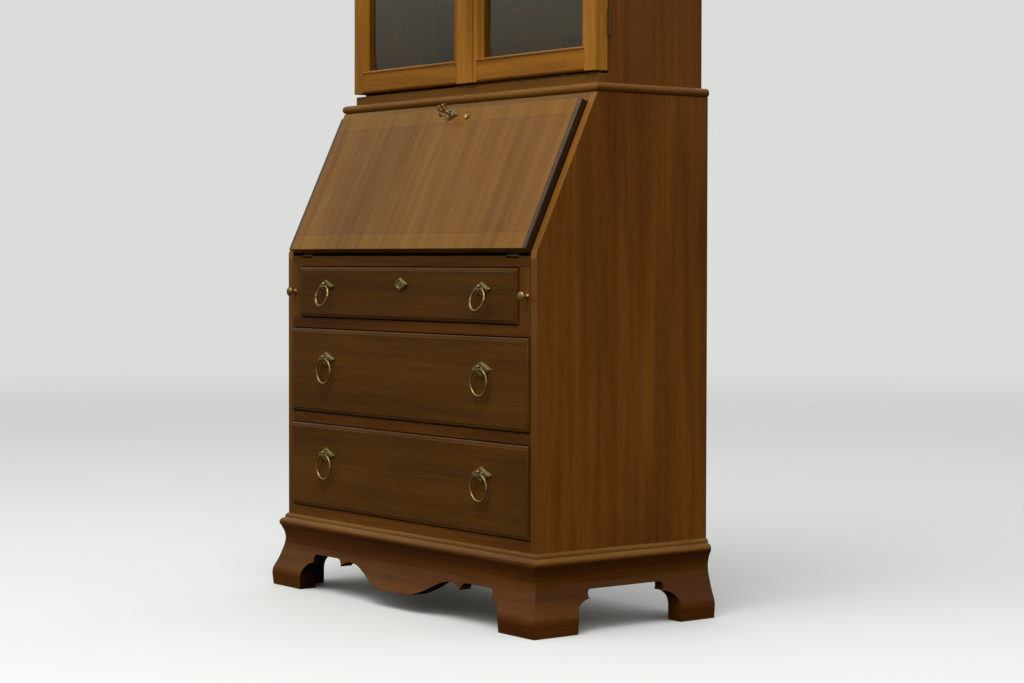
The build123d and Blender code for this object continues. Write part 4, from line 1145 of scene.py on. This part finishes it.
@dataclass
class Key:
    """A key with a pierced bow of three lobes, drawn along its own axis."""

    place: Place
    surface: float
    reach: float = 19.0
    tip: float = -9.5

    def lobe(self, y: float, z: float, radius: float, thick: float = 2.0) -> Shell:
        """A ring of wire in the bow's plane."""
        turn = np.linspace(0, 2 * pi, 40, endpoint=False)
        path = np.stack([np.zeros_like(turn), y + radius * np.cos(turn), z + radius * np.sin(turn)], axis=1)
        return wire(path, thick, (1, 0, 0), 10, loop=True)

    def scroll(self, side: int, z: float) -> Shell:
        """A curl that joins the stem to a side lobe: a spiral whose radius grows along its turn."""
        turn = np.linspace(0.2, 1.6 * pi, 34)
        radius = 1.0 + 0.9 * turn
        y = side * (1.2 + radius * np.sin(turn) * 0.9)
        path = np.stack([np.zeros_like(turn), y, z - 2.0 + radius * np.cos(turn) * 0.8], axis=1)
        return wire(path, np.linspace(0.7, 1.3, 34), (1, 0, 0), 10)

    def shells(self) -> list[Shell]:
        """Shank, bit, collars and bow."""
        bow = self.surface + self.reach
        neck = bow - 9.5
        shank = [(1.2, self.tip), (2.0, self.tip + 0.6), (2.0, self.surface + 0.6), (3.3, self.surface + 1.2),
                 (3.5, self.surface + 2.0), (3.3, self.surface + 2.9), (2.1, self.surface + 3.4),
                 (2.0, neck - 2.6), (2.9, neck - 2.0), (3.1, neck - 1.2), (2.6, neck - 0.4),
                 (1.8, neck + 0.4), (1.5, neck + 3.0), (1.9, neck + 5.5), (0.4, neck + 6.5)]
        bit = Shell.grid(stepped(rectangle((-1.0, 1.0), (-6.0, 0)), [(0, self.tip + 0.5), (0, self.tip + 5.7),
                                                                    (0.3, self.tip + 6.0)]))
        ball = turned([(0.2, -2.0), (1.4, -1.5), (2.0, 0), (1.4, 1.5), (0.2, 2.0)], 20)
        tips = [(0, bow + 12.6), (14.2, bow - 1.6), (-14.2, bow - 1.6)]
        parts = [turned(shank, 28), bit, self.lobe(7.3, bow - 1.4, 5.4), self.lobe(-7.3, bow - 1.4, 5.4),
                 self.lobe(0, bow + 5.8, 5.2), self.lobe(0, bow + 1.0, 2.4, 1.3), self.scroll(1, bow + 0.4),
                 self.scroll(-1, bow + 0.4)]
        parts += [ball.placed(Place((0, y, z))) for y, z in tips]
        return [part.placed(self.place) for part in parts]

    def make(self, owner: str, material: Material) -> None:
        """Makes the key of the fall or the door, which turns as a body of its own."""
        body = f"{owner}_key"
        make_piece(f"{owner}_ornate_key", self.shells(), body, material, (body,), ROUNDED)


@dataclass
class Door:
    """One glazed door. side is 1 on the right and -1 on the left."""

    side: int
    finishes: Finishes
    sizes: DoorSizes = DOOR
    key_x: float = 15.0
    key_y: float = -26.8
    key_share: float = 0.47
    strip_proud: float = 3.0

    def sticking(self) -> Shell:
        """The moulding round the glass: a quirk, a bead and a hollow, mitred at the corners."""
        s = self.sizes
        opening = rectangle((s.left + s.stile, s.right - s.stile), (s.low + s.rail, s.top - s.rail))
        section = [(-0.2, -6.0), (-0.2, 0.35), (0.5, 0.35), (0.9, -0.5), (1.2, -0.5),
                   *quarter((1.3, -0.4), (3.4, 1.0), 5), *quarter((3.4, 1.0), (5.9, -2.6), 6, hollow=True),
                   (6.3, -4.4), (6.7, -6.0), (8.05, -10.0), (8.05, -s.glass_depth + 0.4), (4.0, -13.0)]
        rows = stepped(opening, section)
        shell = Shell.grid(rows, loop=True).placed(on_front(0, s.face, 0))
        return shell if self.side > 0 else shell.mirrored()

    def build(self) -> None:
        """Makes the door's mouldings and, on the right-hand door, its key, and dresses its frame, glass and
        fittings.
        """
        f = self.finishes
        name = "door_right" if self.side > 0 else "door_left"
        dress(f["door_wood"], f"{name}_frame", soften=0.7)
        dress(f["plate_glass"], f"{name}_glass")
        make_piece(f"{name}_sticking", [self.sticking()], name, f["door_wood"])
        if self.side < 0:
            dress(f["dark_brass"], f"{name}_hinges")
            return
        dress(f["dark_brass"], f"{name}_fittings")
        dress(f["dull_steel"], "door_lock_bolt")
        height = self.sizes.low + (self.sizes.top - self.sizes.low) * self.key_share
        surface = self.key_y - self.sizes.face + self.strip_proud + PLATE_RIM
        Key(on_front(self.key_x, self.key_y, height), surface).make("door", f["aged_brass"])


@dataclass
class Hutch:
    """The glazed upper part."""

    finishes: Finishes

    def build(self) -> None:
        """Dresses the hutch and builds its doors."""
        f = self.finishes
        dress(f["mahogany_upright"], "hutch_sides")
        dress(f["rail_golden"], "hutch_front_rails", soften=0.8)
        dress(f["inner_across"], "hutch_top_bottom", "hutch_back", "hutch_shelves", soften=0.6)
        dress(f["mahogany_moulding"], "cornice")
        dress(f["aged_brass"], "shelf_pins")
        dress(f["dark_brass"], "case_hinge_leaves")
        for side in (-1, 1):
            Door(side, f).build()


@dataclass
class Gallery:
    """Pigeonholes and two small drawers behind the fall."""

    finishes: Finishes

    def build(self) -> None:
        """Dresses the gallery."""
        f = self.finishes
        dress(f["inner_deep"], "writing_gallery", soften=0.6)
        dress(f["drawer_veneer"], "gallery_drawer_left", "gallery_drawer_right")


class Studio:
    """Floor, backdrop, light and camera."""

    EYE = (3.885, -2.864, 0.721)
    YAW = 0.9228
    PITCH = 0.0282
    ROLL = 0.0016
    LENS = 80.16
    SENSOR = 36.0
    SHIFT = -0.01636
    HORIZON = (92, 88, 80)
    WALL = (202, 200, 182)
    ZENITH = (232, 236, 242)
    BACKDROP = (219, 221, 218)

    @staticmethod
    def room(material: Material) -> None:
        """A round floor: the profile (radius, 0) goes round the z axis."""
        radius = np.array([0.05, 2.0, 5.0, 9.0, 13.0])
        angle = np.linspace(0, 2 * pi, 96, endpoint=False)
        x = radius[:, None] * np.cos(angle)
        y = radius[:, None] * np.sin(angle)
        points = np.stack([x, y, np.zeros_like(x)], axis=-1)
        shell = Shell.grid(points)
        mesh = bpy.data.meshes.new("floor")
        mesh.from_pydata(points.reshape(-1, 3).tolist(), [], shell.faces[:-1])
        mesh.materials.append(material)
        floor = bpy.data.objects.new("floor", mesh)
        bpy.context.scene.collection.objects.link(floor)

    @staticmethod
    def softbox(name: str, place: Triple, aim: Triple, size: float, power: float) -> None:
        """A square soft light.

        Args:
            name: Its name.
            place: Where it hangs, in metres.
            aim: The point that it faces.
            size: Its side, in metres.
            power: Its power, in watts.
        """
        light = bpy.data.lights.new(name, "AREA")
        light.size = size
        light.energy = power
        lamp = bpy.data.objects.new(name, light)
        bpy.context.scene.collection.objects.link(lamp)
        lamp.location = place
        lamp.rotation_euler = (Vector(aim) - Vector(place)).to_track_quat("-Z", "Y").to_euler()

    def world(self) -> None:
        """Light that is soft above and dim near the horizon, behind a plain pale backdrop."""
        world = bpy.data.worlds.new("sky")
        world.use_nodes = True
        g = Graph(world.node_tree)
        back = next(n for n in world.node_tree.nodes if n.type == "BACKGROUND")
        height = g.split(g.add("TexCoord").outputs["Generated"])[2]
        stops = ((0.05, self.HORIZON), (0.13, self.WALL), (0.7, self.ZENITH))
        light = g.ramp(height, [(place, linear(tone)) for place, tone in stops])
        seen = g.add("LightPath").outputs["Is Camera Ray"]
        g.feed(back, {"Color": g.mix(seen, light, linear(self.BACKDROP)), "Strength": 1.0})
        bpy.context.scene.world = world

    def camera(self) -> None:
        """A long lens at the height of the fall, seeing the front and the right-hand side."""
        data = bpy.data.cameras.new("camera")
        data.lens = self.LENS
        data.sensor_width = self.SENSOR
        data.shift_y = self.SHIFT
        data.clip_start, data.clip_end = 0.1, 100.0
        camera = bpy.data.objects.new("camera", data)
        bpy.context.scene.collection.objects.link(camera)
        ahead = Vector((-sin(self.YAW) * cos(self.PITCH), cos(self.YAW) * cos(self.PITCH), -sin(self.PITCH)))
        right = ahead.cross(Vector((0, 0, 1))).normalized()
        up = right.cross(ahead)
        side = right * cos(self.ROLL) + up * sin(self.ROLL)
        top = up * cos(self.ROLL) - right * sin(self.ROLL)
        turn = Matrix((side, top, -ahead)).transposed().to_4x4()
        camera.matrix_world = Matrix.Translation(Vector(self.EYE)) @ turn
        bpy.context.scene.camera = camera

    def build(self, finishes: Finishes) -> None:
        """Builds the room, the lights and the camera."""
        self.camera()
        self.world()
        self.room(finishes["studio_floor"])
        self.softbox("overhead", (0.8, -1.6, 4.2), (0, 0, 0.8), 3.0, 130)
        bpy.context.scene.view_settings.view_transform = "Standard"


def main() -> None:
    """Builds every part of the desk in order."""
    logging.basicConfig(level=logging.INFO, format="%(name)s: %(message)s")
    finishes = Finishes()
    Carcase(finishes).build()
    drawers = [
        Drawer("top", 395.0, 595.4, 708.2, (665.3, (56, 27), 49, 14), finishes, locked=True, ring_axis=7.5),
        Drawer("middle", 430.8, 388.2, 573.4, (507.8, (66, 31), 58, 0), finishes),
        Drawer("bottom", 430.8, 181.0, 366.2, (300.6, (66, 31), 58, 0), finishes),
    ]
    for part in (*drawers, Loper(-1, finishes), Loper(1, finishes), Fall(finishes), Gallery(finishes),
                 Hutch(finishes)):
        part.build()
    Studio().build(finishes)


if __name__ == "__main__":
    main()
